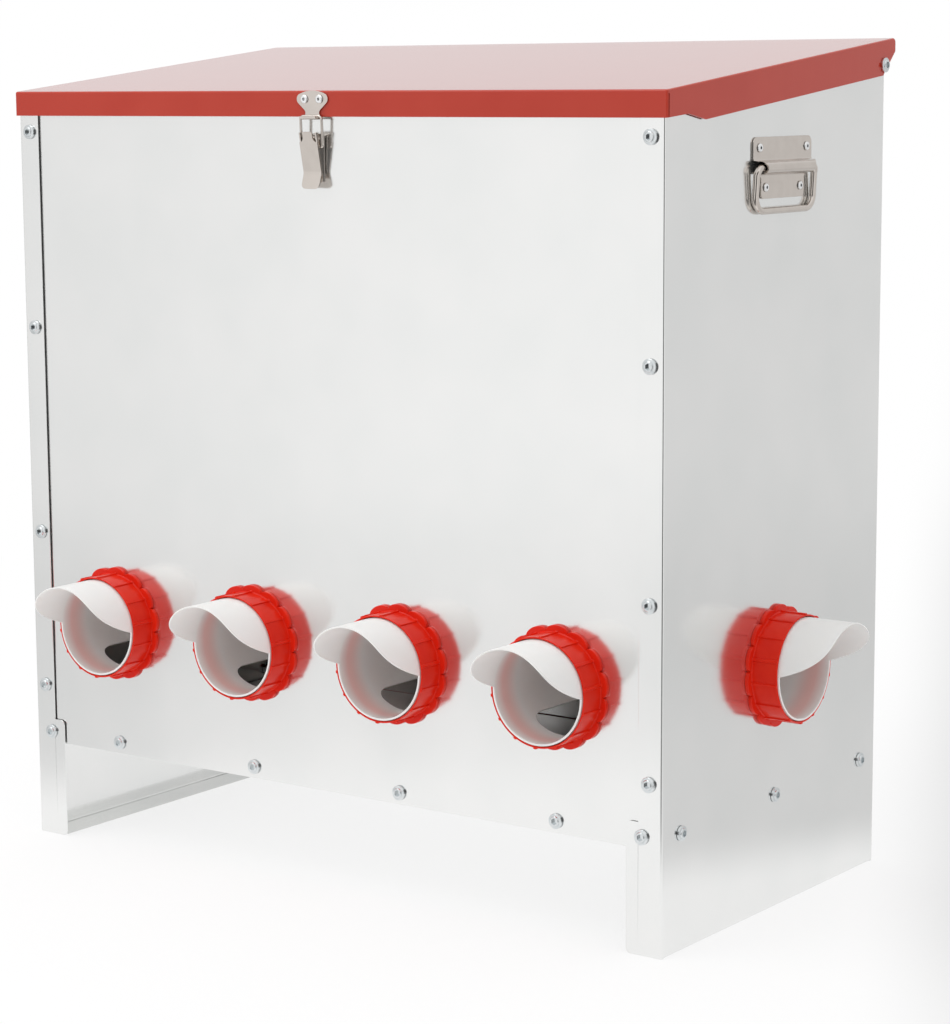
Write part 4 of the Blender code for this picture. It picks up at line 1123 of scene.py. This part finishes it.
handle = {
    "sheet": 1.2,
    "eased": 0.3,
    "wingHalf": 40.6,
    "wingTop": 21.2,
    "wingBottom": 4.9,
    "wingNotch": 6.0,  # below it the sheet narrows to the barrel
    "tailHalf": 30.0,
    "tailBottom": 21.8,
    "corner": 5.0,
    "tailCorner": 3.5,
    "barrel": 4.6,
    "barrelHalf": 33.0,
    "tailTop": (-7.6, -6.4, -4.9),  # heights where the sheet widens from tail to barrel
    "fillet": 2.0,
    "wire": 2.5,
    "span": 40.2,
    "length": 30.1,
    "crank": 2.1,  # how much nearer to the wall the loop lies than the wire's ends
    "crankDepth": 9.0,
    "topBend": 5.0,
    "lowBend": 10.0,
    "wireInside": 12.0,
}
handleOut = handlePivot.x - wallHigh.x
handlePlaces = {
    side: Matrix.Translation((x * wallHigh.x, handlePivot.y, handlePivot.z)) @ outward[side]
    for side, x in (("left", -1), ("right", 1))
}


def handlePlateMesh():
    # one sheet that rolls out into a barrel for the wire; own Z out of the wall, own Y up
    h = handle
    face = fitGap + h["sheet"]
    across = face + h["fillet"] - handleOut
    rise = math.sqrt((h["fillet"] + h["barrel"]) ** 2 - across ** 2)
    lean = math.degrees(math.atan2(rise, across))
    fillet, barrel = (h["fillet"],) * 2, (h["barrel"],) * 2
    path = [(face, h["wingTop"] + 2)]
    path += curvePoints((face + h["fillet"], rise), fillet, 180, 180 + lean, 10)
    path += curvePoints((handleOut, 0), barrel, lean, -lean, 28)[1:-1]
    path += curvePoints((face + h["fillet"], -rise), fillet, 180 - lean, 180, 10)
    path += [(face, -h["tailBottom"] - 2)]
    wide = h["wingHalf"] + 2
    work = bmesh.new()
    drawOut(work, chain(work, [(-wide, up, out) for out, up in path]), (2 * wide, 0, 0))
    sheet = thickened(work, h["sheet"], Vector((0, 0, -200)))
    notch, corner, low = h["wingNotch"], h["corner"], h["tailCorner"]
    outline = curvePoints((h["tailHalf"] - low, low - h["tailBottom"]), (low, low), -90, 0, 6)
    outline += zip((h["tailHalf"], h["barrelHalf"] - 1.5, h["barrelHalf"]), h["tailTop"])
    outline += curvePoints(
        (h["wingHalf"], h["wingBottom"] - notch), (h["wingHalf"] - h["barrelHalf"], notch), 180, 90, 8
    )
    outline += curvePoints((h["wingHalf"] - corner, h["wingTop"] - corner), (corner, corner), 0, 90, 6)
    sheet = trimmed(sheet, outline)
    drills = bmesh.new()
    for along, up in handleRivets:
        addDrill(drills, (along, up, fitGap + h["sheet"] / 2), Matrix(), rivetHole)
    return easedEdges(cutBy(sheet, drills), h["eased"])


def handleWireMesh():
    h = handle
    top, low = h["topBend"], h["lowBend"]
    half = [(h["barrelHalf"] - h["wireInside"], 0.0)]
    half += curvePoints((h["span"] - top, -top), (top, top), 90, 0, 8)
    half += curvePoints((h["span"] - low, low - h["length"]), (low, low), 0, -90, 12)
    points = []
    for x, up in mirroredOutline(half):
        share = min(1.0, -up / h["crankDepth"])
        points.append((x, up, handleOut - h["crank"] * share * share * (3 - 2 * share)))
    return wireMesh(points, h["wire"])


print("handles")
plateShape = handlePlateMesh()
wireShape = handleWireMesh()
for side, place in handlePlaces.items():
    addPiece(f"handlePlate_{side}", plateShape, "nickel_steel", f"handle_plate_{side}", place)
    addPiece(f"handleWire_{side}", wireShape, "nickel_steel", f"handle_bail_{side}", place,
             f"handle_{side}", 60)
    for number, (along, up) in enumerate(handleRivets, 1):
        addPiece(f"handleRivet_{side}_{number}", plateRivet, "rivets", f"handle_rivet_{side}_{number}",
                 place @ Matrix.Translation((along, up, plateSeat)))


studio = {
    "lamp": 9.0,  # watts
    "lampSize": 1.6,
    # where the white room is duller: to the back right, to the left, where the camera stands, and
    # above the back
    "shades": (  # direction, cosines at which its shade starts and is full, and how bright it stays
        ((0.75, 0.66, 0.0), 0.25, 0.92, 0.74),
        ((-0.97, -0.24, 0.0), 0.7, 0.98, 0.78),
        ((0.58, -0.80, 0.14), 0.90, 0.975, 0.10),
        ((-0.57, 0.76, 0.32), 0.956, 0.982, 0.80),
    ),
    "floorShades": (  # direction, and how far out its shade starts and is full
        ((0.896, 0.445, 0.0), 0.33, 0.48),
        ((-0.70, -0.714, 0.0), 0.34, 0.60),
        ((0.60, -0.80, 0.0), 0.45, 0.62),
    ),
    # level, and the distances at which it starts to rise and is full: of the floor in front, which
    # only the sheets mirror, and of the glow that makes the floor white
    "frontFloor": (0.86, 0.9, 2.6),
    "nearFloor": (0.75, 0.4, 1.5),
    "lampPlace": (-0.6, -1.0, 2.2),
    "lampTarget": (0.0, 0.0, 0.3),
}


def studioLevel(tree, way):
    # how bright the room is in a direction
    level = None
    for toward, start, full, dimmed in studio["shades"]:
        bright = rampAlong(tree, way, toward, start, full, 1.0, dimmed)
        if level:
            bright = addNode(tree, "ShaderNodeMath", {"operation": "MULTIPLY"}, links={0: level, 1: bright})
        level = bright
    return level


def rampAlong(tree, vector, toward, start, full, low, high):
    # goes smoothly from low to high as a vector reaches further in a direction
    reach = addNode(
        tree, "ShaderNodeVectorMath", {"operation": "DOT_PRODUCT"}, {1: toward}, {0: vector}
    ).outputs["Value"]
    span = {"From Min": start, "From Max": full, "To Min": low, "To Max": high}
    return addNode(tree, "ShaderNodeMapRange", smoothStep, span, {"Value": reach})


def addStage():
    work = bmesh.new()
    bmesh.ops.create_grid(work, x_segments=1, y_segments=1, size=30.0)
    floor = addObject(meshFrom(work, "studioFloor"), "studioFloor")
    settings = {"Base Color": linear("#FFFFFF"), "Roughness": 0.9, "Specular IOR Level": 0.0}
    material, tree, shader, place = newMaterial("white studio floor", settings)
    distance = addNode(
        tree, "ShaderNodeVectorMath", {"operation": "LENGTH"}, links={0: place}
    ).outputs["Value"]
    way = addNode(tree, "ShaderNodeVectorMath", {"operation": "NORMALIZE"}, links={0: place})
    # white under and behind the object, and shaded as the room is to the right and in front
    beside = None
    for toward, start, full in studio["floorShades"]:
        part = rampAlong(tree, place, toward, start, full, 0.0, 1.0)
        if beside:
            part = addNode(tree, "ShaderNodeMath", {"operation": "MAXIMUM"}, links={0: beside, 1: part})
        beside = part
    fades = []
    for low, start, full in (studio["frontFloor"], studio["nearFloor"]):
        span = {"From Min": start, "From Max": full, "To Min": low, "To Max": 1.0}
        fades.append(addNode(tree, "ShaderNodeMapRange", smoothStep, span, {"Value": distance}))
    further, share = fades
    shaded = addNode(
        tree, "ShaderNodeMath", {"operation": "MULTIPLY"}, links={0: studioLevel(tree, way), 1: further}
    )
    level = addNode(tree, "ShaderNodeMix", values={2: 1.0}, links={0: beside, 3: shaded})
    glow = addNode(tree, "ShaderNodeEmission", None, {"Color": linear("#FFFFFF")}, {"Strength": level})
    blend = addNode(tree, "ShaderNodeMixShader", links={0: share, 1: shader, 2: glow})
    output = next(node for node in tree.nodes if node.type == "OUTPUT_MATERIAL")
    tree.links.new(firstOutput(blend), output.inputs["Surface"])
    floor.data.materials.append(material)


def addWorld():
    world = bpy.data.worlds.new("studio")
    bpy.context.scene.world = world
    world.use_nodes = True
    tree = world.node_tree
    tree.nodes.clear()
    output = addNode(tree, "ShaderNodeOutputWorld")
    way = addNode(tree, "ShaderNodeTexCoord").outputs["Generated"]
    room = addNode(
        tree, "ShaderNodeBackground", None, {"Color": linear("#FFFFFF")}, {"Strength": studioLevel(tree, way)}
    )
    tree.links.new(firstOutput(room), output.inputs["Surface"])


def addLamp():
    # one soft lamp over the front left
    lamp = bpy.data.lights.new("softLamp", "AREA")
    lamp.shape = "DISK"
    lamp.size = studio["lampSize"]
    lamp.energy = studio["lamp"]
    obj = addObject(lamp, "softLamp")
    place = Vector(studio["lampPlace"])
    turn = (place - Vector(studio["lampTarget"])).to_track_quat("Z", "Y").to_matrix().to_4x4()
    obj.matrix_world = Matrix.Translation(place) @ turn


camera = {
    "place": (1.2886, -1.70755, 0.5991),
    "yaw": 0.6288,  # radians
    "pitch": -0.1525,
    "roll": -0.0059,
    "focal": 2798.6,  # in pixels
    "picture": 1024.0,
}


def addCamera():
    data = bpy.data.cameras.new("photoCamera")
    obj = addObject(data, "photoCamera")
    yaw, pitch, roll = camera["yaw"], camera["pitch"], camera["roll"]
    look = Vector((-math.sin(yaw) * math.cos(pitch), math.cos(yaw) * math.cos(pitch), math.sin(pitch)))
    right = Vector((math.cos(yaw), math.sin(yaw), 0.0))
    up = right.cross(look)
    rightRolled = right * math.cos(roll) + up * math.sin(roll)
    upRolled = up * math.cos(roll) - right * math.sin(roll)
    turn = Matrix((rightRolled, upRolled, -look)).transposed().to_4x4()
    obj.matrix_world = Matrix.Translation(camera["place"]) @ turn
    data.sensor_width = 36.0
    data.lens = camera["focal"] * data.sensor_width / camera["picture"]
    data.clip_start, data.clip_end = 0.05, 100.0
    bpy.context.scene.camera = obj


print("studio and camera")
addStage()
addWorld()
addLamp()
addCamera()
bpy.context.scene.view_settings.view_transform = "Standard"
